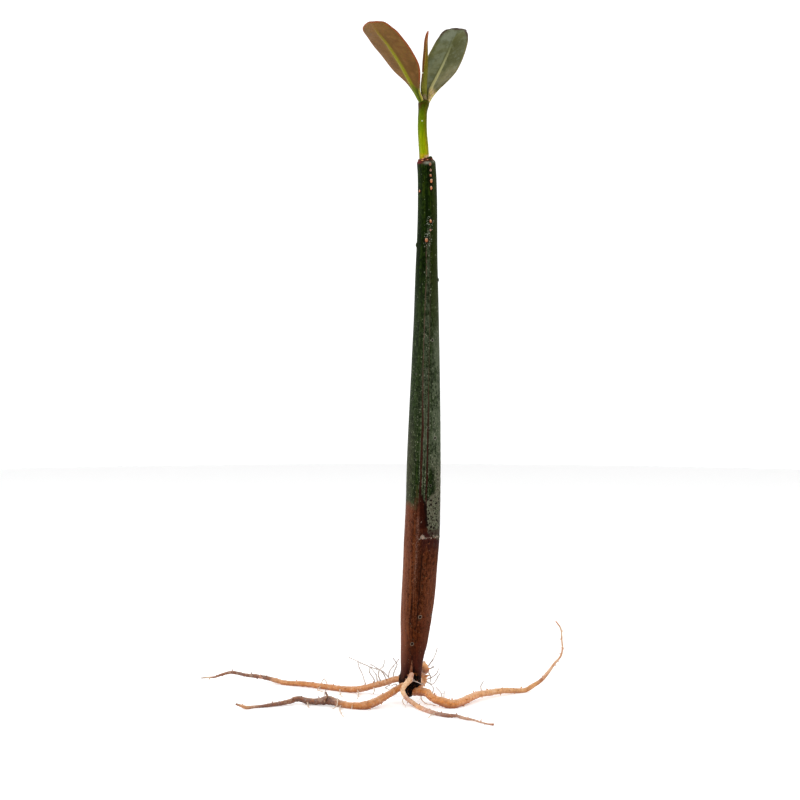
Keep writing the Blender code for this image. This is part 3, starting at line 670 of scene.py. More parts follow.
class Shell:
    """Closed surfaces gathered into one object. Each is a grid whose last column repeats its first."""

    def __init__(self):
        self.points = []
        self.faces = []
        self.corners = {}
        self.count = 0

    def add(self, grid, **marks):
        """A surface closed round and at both ends. Marks are vectors on the same grid, for the finish."""
        if self.volume(grid) < 0:
            grid = grid[:, ::-1]
            marks = {name: values[:, ::-1] for name, values in marks.items()}
        rows, columns = grid.shape[0], grid.shape[1] - 1
        row, column = (axis.ravel() for axis in np.mgrid[0 : rows - 1, 0:columns])
        ring_rows = np.stack((row, row, row + 1, row + 1), -1)
        ring_columns = np.stack((column, column + 1, column + 1, column), -1)
        numbers = self.count + ring_rows * columns + ring_columns % columns
        self.points += [grid[:, :-1].reshape(-1, 3), grid[0, :-1].mean(0)[None], grid[-1, :-1].mean(0)[None]]
        self.faces += numbers.tolist()
        around = np.arange(columns)
        low, high = self.count, self.count + (rows - 1) * columns
        middle = self.count + rows * columns
        for ends, first, second, cap, end in (
            (low, (around + 1) % columns, around, middle, 0),
            (high, around, (around + 1) % columns, middle + 1, rows - 1),
        ):
            self.faces += np.stack((ends + first, ends + second, np.full(columns, cap)), -1).tolist()
        for name, values in marks.items():
            held = self.corners.setdefault(name, [])
            held.append(values[ring_rows, ring_columns].reshape(-1, 3))
            for end, first, second in ((0, around + 1, around), (rows - 1, around, around + 1)):
                centre = np.broadcast_to(values[end, :-1].mean(0), (columns, 3))
                held.append(np.stack((values[end, first], values[end, second], centre), 1).reshape(-1, 3))
        self.count += rows * columns + 2

    @staticmethod
    def volume(grid):
        a, b, c, d = grid[:-1, :-1], grid[:-1, 1:], grid[1:, 1:], grid[1:, :-1]
        return float((a * np.cross(b, c)).sum() + (a * np.cross(c, d)).sum())

    def make(self, name, material, replaces=()):
        data = bpy.data.meshes.new(name)
        points = (np.vstack(self.points) + FOOT) * MM
        data.from_pydata(points.tolist(), [], self.faces)
        for mark, values in self.corners.items():
            layer = data.attributes.new(mark, "FLOAT_VECTOR", "CORNER")
            layer.data.foreach_set("vector", np.vstack(values).astype(np.float32).ravel())
        data.shade_smooth()
        data.materials.append(material)
        obj = bpy.data.objects.new(name, data)
        bpy.context.scene.collection.objects.link(obj)
        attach(obj, "root")
        if replaces:
            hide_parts(*replaces)


def tube_grid(route, sides, step, relief=None):
    """A tapered tube that stays above the floor: its grid, and its marks.

    They are run, turn and radius, and which way each point faces: right, front and up.
    """
    samples = smooth_route(route, step)
    middles = samples[:, :3]
    along = tangents(middles)
    across = side_vectors(along)
    above = np.cross(along, across)
    run = run_lengths(middles)[:, None]
    turn = np.linspace(0, 2 * math.pi, sides + 1)[None]
    out = np.cos(turn)[..., None] * across[:, None] + np.sin(turn)[..., None] * above[:, None]
    radius = samples[:, 3][:, None]
    surface = middles[:, None] + out * radius[..., None]
    reach = radius * np.ones_like(turn)
    if relief is not None:
        reach = reach + relief(surface, run, turn, radius)
    grid = middles[:, None] + out * reach[..., None]
    grid[..., 2] = np.maximum(grid[..., 2], 0.0)
    grid[:, -1] = grid[:, 0]
    return grid, {"run": stacked(run, turn, radius), "side": out * np.array((1.0, -1.0, 1.0))}


def plain_floor():
    finish = Finish("white floor", Emission_Color=(1.0, 1.0, 1.0, 1.0), Emission_Strength=0.2)
    speckle = finish.noise(0.05, 0.05, 0.05)
    material = finish.skin(finish.mix(speckle, (0.93, 0.93, 0.93), (0.95, 0.95, 0.95)), 0.6)
    bpy.ops.mesh.primitive_circle_add(vertices=96, radius=1.1, fill_type="NGON")
    floor = bpy.context.object
    floor.name = "floor"
    floor.data.materials.append(material)


def softbox(name, place, size, power):
    data = bpy.data.lights.new(name, "AREA")
    data.shape = "RECTANGLE"
    data.size, data.size_y = size
    data.energy = power
    light = bpy.data.objects.new(name, data)
    light.location = place
    light.rotation_euler = (Vector(LIGHT_AIM) - Vector(place)).to_track_quat("-Z", "Y").to_euler()
    bpy.context.scene.collection.objects.link(light)


def studio():
    """White all round to the eye. The light is strong from behind and above and weak from the front."""
    world = bpy.data.worlds.new("studio")
    bpy.context.scene.world = world
    world.use_nodes = True
    sky = Patterns(world.node_tree)
    _, to_back, _ = sky.parts(sky.node("ShaderNodeTexCoord"))
    spread = {"Value": to_back, "From Min": 0.3, "From Max": 0.6, "To Min": 0.10, "To Max": 1.3}
    light = sky.tree.nodes["Background"]
    sky.feed(light.inputs["Color"], WHITE)
    sky.feed(light.inputs["Strength"], sky.node("ShaderNodeMapRange", None, spread))
    seen = sky.node("ShaderNodeBackground", None, {"Color": WHITE})
    by_camera = sky.node("ShaderNodeLightPath")
    both = sky.node("ShaderNodeMixShader", None, {0: by_camera, 1: light.outputs[0], 2: seen})
    sky.feed(sky.tree.nodes["World Output"].inputs["Surface"], both)
    for box in SOFTBOXES:
        softbox(*box)
    bpy.context.scene.view_settings.view_transform = "Standard"
    bpy.context.scene.view_settings.look = "Medium High Contrast"


def camera():
    data = bpy.data.cameras.new("camera")
    data.lens = CAMERA_LENS
    data.sensor_width = CAMERA_SENSOR
    eye = bpy.data.objects.new("camera", data)
    eye.location = Vector(CAMERA_PLACE) * MM
    eye.rotation_euler = (math.pi / 2 - math.radians(CAMERA_PITCH), 0.0, 0.0)
    bpy.context.scene.collection.objects.link(eye)
    bpy.context.scene.camera = eye


def green_skin(f, height, right, left_vein, right_vein, cork, grains):
    """The waxy skin above, with dusty bloom, specks and two veins, and how powdery it is."""
    fleck, mottle, streak, grit = grains
    edge = right + (mottle - 0.5) * 0.5 - height.within(87, 90, 95, 101) * 0.3 + height.rise(89, 84) * 0.3
    flank = edge.rise(0.25, 0.6)
    dusty = height.rise(176, 125)
    bloom = (fleck * 0.5 + mottle * 0.5).rise(0.45, 0.55)
    powdery = dusty * flank
    low = height.rise(112, 88)
    between = left_vein.rise(-0.1, 0.3) * right_vein.rise(0.1, -0.3) * height.rise(205, 196)
    mealy = grit * 0.6 + fleck * 0.4
    powder = height.rise(178, 150) * (0.22 + flank * 0.3 + between * 0.2)
    clouds = height.near(150, 10, 4).most(height.near(116.5, 9, 4))
    wobble = (f.noise(0.7, 0.7, 0.12) - 0.5) * 0.7
    from_left, from_right = abs(left_vein + wobble), abs(right_vein + wobble)
    from_vein = from_left.least(from_right)
    veined = from_vein.rise(1.3, 0.5) * height.rise(203, 198)
    share = 0.05 + dusty * 0.28 + between * 0.25 + powdery * 0.35 + veined * 0.4
    corky = cork.rise(0.08, 0.4) * height.within(184, 188, 204, 207) * right.rise(-0.4, -0.2)
    pits = f.specks(0.85, 0.85, 0.8, 0.3 + height.rise(90, 85) * 0.65, 0.56)
    breaks = f.noise(0.9, 0.9, 0.5).rise(0.38, 0.52)
    low_vein = height.rise(150, 112)
    width = 0.34 + low_vein * 0.18
    left_line = (width - from_left).rise(0, 0.2) * height.rise(196, 190)
    right_line = (width - 0.14 - from_right).rise(0, 0.2) * height.rise(206, 198)
    line = left_line.most(right_line) * (breaks * 0.6 + 0.4 + low_vein).least(1)
    green = f.coats(
        f.mix(fleck.rise(0.38, 0.62), BOTTLE_GREEN, MOSS_GREEN),
        (streak.rise(0.55, 0.40) * 0.8, NIGHT_GREEN),
        (streak.rise(0.57, 0.66) * height.rise(196, 208) * 0.6, FERN_GREEN),
        (flank * height.rise(135, 170) * 0.75, OLIVE),
        (height.within(98, 112, 170, 186) * 0.13, TEAL_GREY),
        (right.rise(-0.35, -0.85) * height.rise(128, 104) * (0.15 + fleck * 0.4), BLOOM_GREY),
        (powdery * (0.12 + low * 0.45 + bloom * 0.7), f.mix(low, BLOOM_TEAL, BLOOM_GREY)),
        (mealy.rise(0.50, 0.57) * powder, BLOOM_TEAL),
        (mealy.rise(0.48, 0.41) * 0.45, NIGHT_GREEN),
        (clouds * right.rise(0.35, 0.85) * (0.25 + fleck * 0.5), BLOOM_TEAL),
        (powdery * low * grit.rise(0.46, 0.58) * 0.6, DUST),
        (between * (0.08 + bloom * 0.6) * (1 - low * 0.6), TEAL_GREY),
        (f.specks(1.1, 1.1, 0.8, share, 0.42) * 0.75, DUST),
        (f.specks(2.2, 2.2, 1.6, share, 0.42) * 0.65, DUST),
        (f.specks(2.4, 2.4, 1.8, corky * 0.85, 0.46), CRUMB_WHITE),
        (pits * height.rise(101, 90) * powdery.most(between), PITCH),
        (from_vein.near(0.75, 0.35, 0.1) * low_vein * breaks * 0.35, DUST),
        (line * 0.85, f.mix(low_vein, VEIN_PINK, VEIN_MAROON)),
    )
    return green, powdery


def brown_skin(f, side, height, right, torn, near_foot, dust_line, heart, grains):
    """The red-brown skin below, with dark stripes and a pale dusty line, black and torn at the foot."""
    fleck, mottle, streak, grit = grains
    mealy = grit * 0.6 + fleck * 0.4
    band = side.near(-0.6, 2, 0.8) * height.within(42, 50, 62, 68)
    under_crust = height.within(61, 69, 71.5, 73) * right.rise(-0.15, 0.15)
    from_stripe = abs(side - 0.3 + (f.noise(0.5, 0.5, 0.09) - 0.5))
    stripe = (0.05 + mottle * 0.5 - from_stripe).rise(0, 0.25) * height.within(30, 36, 62, 66)
    second = (0.2 + mottle * 0.5 - abs(side + 2.5)).rise(0, 0.3) * height.within(32, 34, 44, 47)
    left_pink_and_painted_light = right.rise(-0.1, -0.8) * height.within(12, 18, 28, 40)
    red_streaks = streak.rise(0.46, 0.58) * right.rise(-0.1, 0.3) * height.rise(44, 30)
    bark = f.coats(
        f.mix(fleck.rise(0.36, 0.62), DARK_BROWN, RED_BROWN),
        (streak.rise(0.48, 0.66) * 0.6, RUST),
        # Pink on the left flank: partly the skin's own colour, partly painted light from the left.
        (right.rise(-0.4, -0.95) * (0.45 + fleck * 0.6), DUSKY_PINK),
        (streak.rise(0.50, 0.62) * right.rise(-0.4, -0.85) * 0.4, SIENNA),
    )
    return f.coats(
        f.shade(height.rise(60, 71), bark, UPPER_SHADE),
        (side.near(-1.9, 0.7, 0.2) * height.rise(73, 76) * 0.35, DUSKY_PINK),
        (grit.rise(0.56, 0.66) * 0.4, RUST),
        (mealy.rise(0.50, 0.58) * height.rise(26, 40) * 0.22, DUST_PINK),
        (mealy.rise(0.48, 0.40) * 0.4, DARK_BROWN),
        (right.rise(0.2, 0.7) * height.rise(64, 50) * (0.1 + fleck * 0.4), DUSKY_PINK),
        (band * 0.45, DARK_BROWN),
        (heart * (0.65 + streak * 0.35), HEART_MAROON),
        (under_crust * (0.5 + mottle * 0.5), PLUM),
        (stripe * 0.85, PITCH),
        (second * 0.6, PITCH),
        (f.specks(0.9, 0.9, 0.55, 0.3, 0.36) * 0.5, SIENNA),
        (f.specks(1, 1, 0.8, 0.36, 0.36) * 0.85, PITCH),
        (height.rise(30, 13) * 0.7, PLUM),
        # Pink low on the left flank: partly the skin's own colour, partly painted light from the left.
        (left_pink_and_painted_light * (0.2 + streak * 0.4), DUSKY_PINK),
        (red_streaks * 0.55, DARK_RED),
        (f.specks(1.6, 1.6, 1.2, 0.2, 0.36) * 0.4, DUST),
        (dust_line * grit.rise(0.42, 0.58) * (fleck + 0.25), DUST_PINK),
        (1 - near_foot, SOOT),
        ((1 - near_foot) * (fleck * 0.5 + grit * 0.5).rise(0.55, 0.60) * 0.8, BARK_SHADE),
        (torn.rise(0.1, 0.5), PITCH),
        (torn.rise(0.45, 0.8), f.mix(fleck.rise(0.4, 0.6), CORK_DARK, TAN_BROWN)),
    )


def hypocotyl_finish():
    """Green skin above and red-brown skin below a ragged line, with scars, crust and the collar's lip."""
    f = Finish("hypocotyl skin", Specular_IOR_Level=0.05, Sheen_Weight=0.015, Sheen_Roughness=0.3)
    side, height, radius = f.mark("skin")
    left_vein, right_vein, over = f.mark("lines")
    scar_x, scar_z, pale = f.mark("scar")
    cork, collar, near_foot = f.mark("zones")
    torn, painted_collar_highlight, shoulder = f.mark("torn")
    crust, dust_line, heart = f.mark("crust")
    right = (side / radius).sine()
    fleck = f.noise(1.1, 1.1, 0.7, 3, 0.65)
    mottle = f.noise(0.4, 0.4, 0.2, 3, 0.6)
    streak = f.noise(1.1, 1.1, 0.04, 3, 0.6)
    grit = f.noise(3.2, 3.2, 2.2, 3, 0.7)
    grains = fleck, mottle, streak, grit
    green, powdery = green_skin(f, height, right, left_vein, right_vein, cork, grains)
    brown = brown_skin(f, side, height, right, torn, near_foot, dust_line, heart, grains)

    at_left = right.rise(-0.25, -0.5)
    ragged = over + (mottle - 0.5) * (1.4 + at_left * 1.6) + (fleck - 0.5) * 2.4 + (grit - 0.5) * 1.5
    is_brown = ragged.rise(0.5, -0.5)
    outline = ragged.near(-0.3, 0.9, 0.3) * (1 - at_left) * height.rise(73, 76)
    beside_heart = over.near(0.9, 2.4, 0.8) * height.rise(73, 75) * right.rise(-0.1, 0.1)
    crumbling = height.near(72.3, 1.7, 0.7) * right.rise(0, 0.2) * grit.rise(0.43, 0.50)
    crusty = (crust + (grit - 0.5) * 2).rise(0.45, 0.62)
    away = (scar_x * scar_x + scar_z * scar_z) ** 0.5 + (grit - 0.5) * 0.4 + (fleck - 0.5) * 0.3
    lip = f.coats(
        f.mix(fleck.rise(0.42, 0.6), DARK_MAROON, CORK_DARK),
        ((height + (fleck - 0.5) * 0.8).rise(228.2, 228.6) * right.rise(0.2, 0.5), MOSS_GREEN),
        (grit.rise(0.58, 0.66) * 0.5, TAN_BROWN),
    )
    colour = f.coats(
        f.mix(is_brown, green, brown),
        (outline * (0.5 + right.rise(-0.1, 0.1) * 0.4), PITCH),
        (ragged.near(0.6, 1.6, 0.2) * at_left * 0.4, DUSKY_PINK),
        (f.specks(1.15, 1.15, 0.95, beside_heart * 0.75, 0.66) * 0.9, PITCH),
        (crumbling * 0.8, PLUM),
        (crusty, f.mix(fleck.rise(0.4, 0.6), CRUST, SCAR_GREY)),
        (away.near(0.7, 0.28, 0.1) * pale * 0.6, SCAR_GREY),
        (away.rise(0.55, 0.4) * 0.9, PITCH),
        (cork.rise(0.62, 0.85) * 0.6, PITCH),
        # Painted highlight: grey on the bevel below the collar's lip.
        (painted_collar_highlight * (0.4 + fleck), PAINTED_HIGHLIGHT_GREY),
        (shoulder * (0.5 + mottle), MAROON),
        (collar, lip),
    )
    roughness = 0.38 + fleck * 0.16 + powdery * 0.14 + is_brown * 0.04
    relief = fleck * 0.5 + grit * 0.5 + streak * 0.4 + powdery * fleck * 0.5
    return f.skin(colour, roughness, relief, depth=0.18)


def nearest_scar(side_angle, height, radius):
    """How far each point lies from the nearest scar, across and up in its radii, and how pale it is."""
    nearest = np.full_like(height, np.inf)
    found = [nearest] * 3
    for level, degrees, size, _, pale in SCARS:
        x = (side_angle - math.radians(degrees)) * radius / size
        z = (height - level) / size
        away = np.hypot(x, z)
        found = [np.where(away < nearest, new, old) for new, old in zip((x, z, pale), found)]
        nearest = np.minimum(away, nearest)
    return np.stack(found, -1)


def hypocotyl_rings():
    """Samples from the torn foot over the collar's lip to the socket's floor, and where the lip begins."""
    body = smooth_route(HYPOCOTYL_ROUTE, HYPOCOTYL_STEP)
    top = [(*HYPOCOTYL_ROUTE[-1], 0.0)]
    rings = [(x, 0.0, z, radius, lean) for x, z, radius, lean in COLLAR_LIP]
    lip = smooth_route(top + rings, COLLAR_STEP)[1:]
    floor = np.array([(COLLAR_LIP[-1][0], 0.0, SOCKET_FLOOR, COLLAR_LIP[-1][2], 0.0)])
    return np.vstack((np.pad(body, ((0, 0), (0, 1))), lip, floor)), len(body)


def hypocotyl_skin():
    """The body of the plant: its bulges, ribs, veins, scars and torn foot, and the ragged collar on top."""
    samples, body = hypocotyl_rings()
    turn = np.linspace(-math.pi, math.pi, HYPOCOTYL_SIDES + 1)[None]
    degrees = np.degrees(turn)
    middle, height, radius = samples[:, None, :3], samples[:, 2][:, None], samples[:, 3][:, None]
    out = stacked(np.sin(turn), -np.cos(turn), 0.0)
    surface = middle + out * radius[..., None]

    # The relief of the foot and of the skin.
    reach = radius
    for rise, level, half_height, angle, half_width in FOOT_FORMS:
        beside = angle_between(turn, math.radians(angle))
        reach = reach + rise * bump(height, level, half_height) * bump(beside, 0, half_width)
    rags = 0.6 * grain(surface, (2.2, 2.2, 2.6)) + 0.45 * grain(surface, (0.9, 0.9, 1.1), 5.0)
    reach = reach + climb(height, 13.0, 5.0) * rags
    reach = reach + 0.10 * grain(surface, (5.0, 5.0, 22.0), 1.0)
    fibres = 0.05 * grain(surface, (1.1, 1.1, 18.0), 2.0) + 0.03 * grain(surface, (0.7, 0.7, 3.0), 3.0)
    brown = climb(height, 86.0, 74.0)
    reach = reach + fibres * (0.6 + brown)
    reach = reach + brown * 0.06 * grain(surface, (1.6, 1.6, 9.0), 4.0)
    dusty = climb(height, 150.0, 110.0) * climb(np.sin(turn), 0.0, 0.5)
    reach = reach + dusty * (1 - brown) * 0.06 * grain(surface, (1.3, 1.3, 1.6), 9.0)

    # How far each point lies from the veins and from the line between green and brown.
    left_off = np.radians(degrees - np.interp(height, *zip(*LEFT_VEIN))) * radius
    right_off = np.radians(degrees - np.interp(height, *zip(*RIGHT_VEIN))) * radius
    side = turn * radius
    corners = [(math.radians(angle) * radius, level) for angle, level in BROWN_LINE]
    above = np.sign(height - np.interp(degrees, *zip(*BROWN_LINE)))
    over = line_distance(side, height, corners) * above
    green = climb(height, 84.0, 90.0)
    reach = reach - green * 0.07 * (bump(left_off, 0, 0.4) + bump(right_off, 0, 0.35)) * (height < 200)

    # The crust on the ledge where the brown skin starts, a dusty line beside it and the dark heart above it.
    ledge = 70.3 + 1.1 * grain(surface, (1.2, 1.2, 60.0), 12.0)
    beads = np.where(side > 1.0, 0.55, 0.75) + 1.1 * grain(surface, (0.8, 0.8, 0.8), 13.0)
    beads = np.clip(beads, 0, 1)
    crust = beads * bump(height, ledge, 0.6) * (side > -1.6) * (degrees < 88)
    crust = np.maximum(crust, bump(np.hypot(side - 0.4, (height - 70.6) * 0.8), 0, 0.95))
    crust = np.maximum(crust, 0.55 * bump(np.hypot((side + 0.5) * 0.6, height - 77.0), 0, 0.6))
    dust_line = bump(side, -2.0, 0.65) * climb(height, 44.0, 56.0) * (height < 79)
    heart = climb(np.abs(side - 0.1), 2.0, 1.3) * climb(height, 72.0, 75.0)
    reach = reach + 0.15 * crust

    # The skin swells round each lenticel and sinks into each scar.
    cork = np.zeros_like(reach)
    for level, angle, half_width, half_height, _ in LENTICELS:
        away = np.hypot((turn - math.radians(angle)) * radius / half_width, (height - level) / half_height)
        reach = reach + 0.16 * bump(away, 0, 1.3)
        cork = np.maximum(cork, climb(away, 4.4, 1.0))
    for level, angle, size, depth, _ in SCARS:
        away = np.hypot((turn - math.radians(angle)) * radius, height - level) / size
        reach = reach + depth * (0.7 * bump(away, 0.75, 0.3) - 1.2 * bump(away, 0, 0.45))

    # The collar's lip is ragged and tilted; the last row, deep in the socket, stays level.
    row = np.arange(len(samples))[:, None]
    in_lip = climb(row, body, body + 5)
    collar = in_lip * np.ones_like(turn)
    ragged = 0.3 * grain(out * np.ones_like(height)[..., None] * 3.0, (0.8, 0.8, 0.8), 8.0)
    lump = 0.3 * bump(angle_between(turn, math.radians(62)), 0, 0.5)
    lift = in_lip * (ragged + lump) + samples[:, 4][:, None] * np.sin(turn)
    lift[-1] = 0.0
    grid = middle + out * reach[..., None]
    grid[..., 2] += lift
    grid[:, -1] = grid[:, 0]

    # The torn foot, the notch that the front root comes out of, and a painted highlight below the collar.
    tall = height * np.ones_like(turn)
    ragged_foot = 10.5 + 2.0 * np.sin(3 * turn + 1.0) + 1.5 * grain(surface, (2.0, 2.0, 6.0), 6.0)
    near_foot = climb(tall, ragged_foot, ragged_foot + 3.0)
    closing = climb(tall, 10.5, 18.0)
    in_notch = (tall > 9.0) & (tall < 18.5)
    from_notch = np.abs(degrees + 3.0 - 3.0 * closing) / (17.0 * (1 - closing) + 1.5)
    torn = np.clip(1.4 - from_notch, 0, 1) * in_notch
    # Painted highlight on the bevel below the collar, in two places.
    painted_collar_highlight = 1.3 * bump(tall, 227.0, 0.6) * bump(degrees, 6.0, 22.0)
    painted_collar_highlight = painted_collar_highlight + 0.8 * bump(tall, 227.5, 0.4) * bump(degrees, 55.0, 14.0)
    shoulder = climb(tall, 226.2, 227.0) * bump(degrees, -60.0, 38.0)
    shell = Shell()
    shell.add(
        grid,
        skin=stacked(side, tall, radius),
        lines=stacked(left_off, right_off, over),
        scar=nearest_scar(turn * np.ones_like(height), tall, radius),
        zones=stacked(cork, collar, near_foot),
        torn=stacked(torn, painted_collar_highlight, shoulder),
        crust=stacked(crust, dust_line, heart),
    )
    shell.make("hypocotyl_body", hypocotyl_finish(), ["hypocotyl"])


def cork_finish():
    """Pale cork with a dark split, a painted highlight on top and red below; grey or green on fainter ones.
    """
    f = Finish("lenticel cork", Specular_IOR_Level=0.15)
    across, along, pale = f.mark("blister")
    grit = f.noise(3, 3, 3, 3)
    away = (across * across + along * along) ** 0.5
    colour = f.coats(
        f.mix(away.rise(1, 0.4) * pale, CORK_DARK, CORK_PALE),
        (grit.rise(0.50, 0.70) * 0.5, CORK_DARK),
        (along.rise(-0.1, -0.8) * pale * 0.6, CORK_RED),
        # Painted highlight: cream on the top of the cork.
        (along.rise(0.1, 0.7) * pale * 0.6, CREAM),
        (pale.rise(0.5, 0.4), f.mix(away.rise(0.45, 0.25), CORK_GREY, MAROON)),
        (across.near(0, 0.16, 0.05) * along.near(0, 0.75, 0.5) * 0.35, CORK_DARK),
        (pale.rise(0.15, 0.05), MOSS_GREEN),
    )
    return f.skin(colour, 0.7, grit, depth=0.08)


def blister(middle, outward, half_width, half_height, rise, seed):
    """A small lumpy dome on the skin, with its two flat coordinates for the finish."""
    across = np.array((-outward[1], outward[0], 0.0))
    tilt = np.linspace(0.02, math.pi - 0.02, 17)[:, None]
    turn = np.linspace(0, 2 * math.pi, 25)[None]
    u, v, w = np.sin(tilt) * np.cos(turn), np.sin(tilt) * np.sin(turn), np.cos(tilt) * np.ones_like(turn)
    split = 0.16 * bump(u, 0, 0.13) * np.clip(1.2 - np.abs(v), 0, 1) * (w > 0)
    lumps = 1 + 0.18 * grain(stacked(u, v, w) * 2.0, (1, 1, 1), seed)
    grid = middle + across * (u * half_width * lumps)[..., None] + UP * (v * half_height * lumps)[..., None]
    grid = grid + outward * (w * rise * lumps - split)[..., None]
    grid[:, -1] = grid[:, 0]
    return grid, u, v


def lenticels():
    """Corky blisters with a lengthwise split, and the scales that peel off the collar."""
    route = smooth_route(HYPOCOTYL_ROUTE, 1.0)
    shell = Shell()
    for level, degrees, half_width, half_height, pale in LENTICELS:
        x, radius = (np.interp(level, route[:, 2], route[:, column]) for column in (0, 3))
        turn = math.radians(degrees)
        outward = np.array((math.sin(turn), -math.cos(turn), 0.0))
        middle = np.array((x, 0.0, level)) + outward * (radius + 0.02)
        grid, u, v = blister(middle, outward, half_width, half_height, LENTICEL_RISE, level)
        shell.add(grid, blister=stacked(u, v, pale))
    for x, y, z, half_width, half_height in COLLAR_SCALES:
        outward = unit(np.array((x - COLLAR_LIP[0][0], y, 0.0)))
        grid, u, v = blister(np.array((x, y, z)), outward, half_width, half_height, SCALE_RISE, z)
        shell.add(grid, blister=stacked(u * 0.5, v * 0.5, 1.0))
    shell.make("lenticels", cork_finish())


def stem_finish():
    """Lime, then grass green, darker at the left and olive at the right, and peach where it is torn."""
    f = Finish("stem skin", Specular_IOR_Level=0.08)
    run, _, _ = f.mark("run")
    right, front, _ = f.mark("side")
    fibre = f.noise(2.2, 2.2, 0.12, 3)
    mottle = f.noise(0.7, 0.7, 0.4, 3)
    place = run / STEM_LENGTH + (mottle - 0.5) * 0.10
    torn = (run + (mottle - 0.5) * 1.5).rise(3.4, 2.4) * (right * 0.8 + front * 0.4).rise(0.3, 0.75)
    ring = (run - right * 0.5 + (mottle - 0.5) * 1.8).near(24.6, 0.8, 0.1)
    dot = run.near(17.3, 0.35, 0.2) * right.near(-0.05, 0.2, 0.1) * front.rise(0, 0.1)
    colour = f.coats(
        f.ramp(place, STEM_STOPS),
        ((right + (fibre - 0.5) * 0.3).rise(0.22, 0.45) * 0.7, f.ramp(place, STEM_EDGE_STOPS)),
        (right.rise(-0.45, -1) * 0.45, DEEP_GRASS),
        (right.near(0.75, 0.14, 0.04) * 0.5, DEEP_GRASS),
        (fibre.rise(0.5, 0.38) * 0.25, DEEP_GRASS),
        (torn * 0.85, PEACH),
        (ring * (0.3 + fibre * 0.8), f.mix(right.rise(-0.5, 0.3), NODE_BROWN, NODE_OLIVE)),
        (run.near(23.2, 1.6, 0.4) * right.rise(-0.1, -0.6) * 0.6, NODE_BROWN),
        (f.specks(1.3, 1.3, 1, 0.1, 0.3) * 0.4, DUST),
        (dot * 0.6, SPECK_WHITE),
    )
    return f.skin(colour, 0.42, fibre + mottle, depth=0.08)


def stem():
    """The shoot: fine lengthwise ribs, faint rings, and a swelling where the leaves grow from it."""

    def relief(surface, run, turn, radius):
        ribs = 0.05 * grain(surface, (0.9, 0.9, 12.0), 1.5)
        rings = 0.06 * bump(run, 7.3, 0.3) + 0.05 * bump(run, 13.8, 0.3) + 0.05 * bump(run, 18.5, 0.4)
        return ribs + rings + 0.05 * grain(surface, (1.0, 1.0, 1.2))

    shell = Shell()
    grid, marks = tube_grid(STEM_ROUTE, 48, 0.25, relief)
    shell.add(grid, **marks)
    shell.make("stem_shoot", stem_finish(), ["stem"])


def bud_finish():
    """Red-brown under the lapping edge and yellow-green on it, turning red at the tip."""
    f = Finish("leaf bud skin", Specular_IOR_Level=0.12)
    run, _, _ = f.mark("run")
    right, front, _ = f.mark("side")
    past_lap, _, _ = f.mark("fold")
    fibre = f.noise(2.5, 2.5, 0.12, 3)
    mottle = f.noise(0.8, 0.8, 0.5)
    place = run / BUD_LENGTH
    waxy = mottle.rise(0.40, 0.56) * run.rise(4.2, 2.8) * past_lap.rise(-0.3, 0.4)
    dot = run.near(12.5, 0.4, 0.25) * right.near(-0.7, 0.25, 0.1) * front.rise(0, 0.1)
    colour = f.coats(
        f.ramp(place, BUD_UNDER_STOPS),
        ((past_lap + (fibre - 0.5) * 0.25).rise(-0.05, 0.05), f.ramp(place, BUD_LAPPING_STOPS)),
        (past_lap.within(-0.02, 0.05, 0.22, 0.42) * run.rise(12, 20) * 0.3, TAN),
        (past_lap.near(-0.08, 0.10, 0.03) * 0.5, DARK_TIP),
        (fibre.rise(0.48, 0.34) * 0.3, DARK_TIP),
        (waxy * 0.5, CRUST),
        (dot, SPECK_WHITE),
    )
    return f.skin(colour, 0.45, fibre, depth=0.08)


def bud():
    """The next pair of leaves, still rolled: one edge laps over the other down the front."""

    def lap_turn(run, turn):
        """How far round from the lapping edge, which winds slowly across the front."""
        return turn + 0.78 - 0.031 * run

    def relief(surface, run, turn, radius):
        lap = lap_turn(run, turn) % (2 * math.pi)
        return radius * (0.16 * np.exp(-lap / 0.8) - 0.05) + 0.02 * grain(surface, (0.6, 0.6, 8.0))

    shell = Shell()
    grid, marks = tube_grid(BUD_ROUTE, 48, 0.3, relief)
    run, turn = marks["run"][..., 0], marks["run"][..., 1]
    shell.add(grid, fold=stacked(np.sin(lap_turn(run, turn)), 0.0, 0.0), **marks)
    shell.make("bud_spear", bud_finish(), ["leaf_bud"])


def leaf_underside(f, along, from_rib, share, cloud, fleck):
    """Bronze, with a raised yellow midrib and a lime petiole."""
    left_half = from_rib.rise(-0.5, -3) * along.within(16, 24, 37, 43)
    near_rib = (abs(from_rib) - 2.3).rise(0.8, -0.8) * along.rise(42, 30)
    beside_rib = from_rib.near(1.9, 1, 0.3) * along.rise(43, 34)
    rib = (abs(from_rib) - 1.15 + along * 0.010).rise(0.4, -0.4) * along.rise(45.5, 40)
    stalk = f.mix((share + (fleck - 0.5) * 0.5).rise(-0.1, 0.5), PETIOLE_LIME, PETIOLE_SHADE)
    stalk = f.mix(share.rise(0.72, 0.9), stalk, PETIOLE_EDGE)
    return f.coats(
        f.mix(cloud.rise(0.36, 0.64), BRONZE_DARK, BRONZE),
        (along.rise(30, 46) * 0.5, BRONZE_LIGHT),
        (fleck.rise(0.48, 0.70) * 0.4, OLIVE_BROWN),
        (fleck.rise(0.46, 0.30) * 0.35, RUSSET),
        (left_half * 0.55, BRONZE_DARK),
        (near_rib * 0.5, OLIVE_BROWN),
        (beside_rib * 0.6, BRONZE_DARK),
        (rib, f.ramp(along / RIB_LENGTH, RIB_STOPS)),
        ((along + abs(from_rib) * 1.2).rise(12.5, 7.5), stalk),
    )


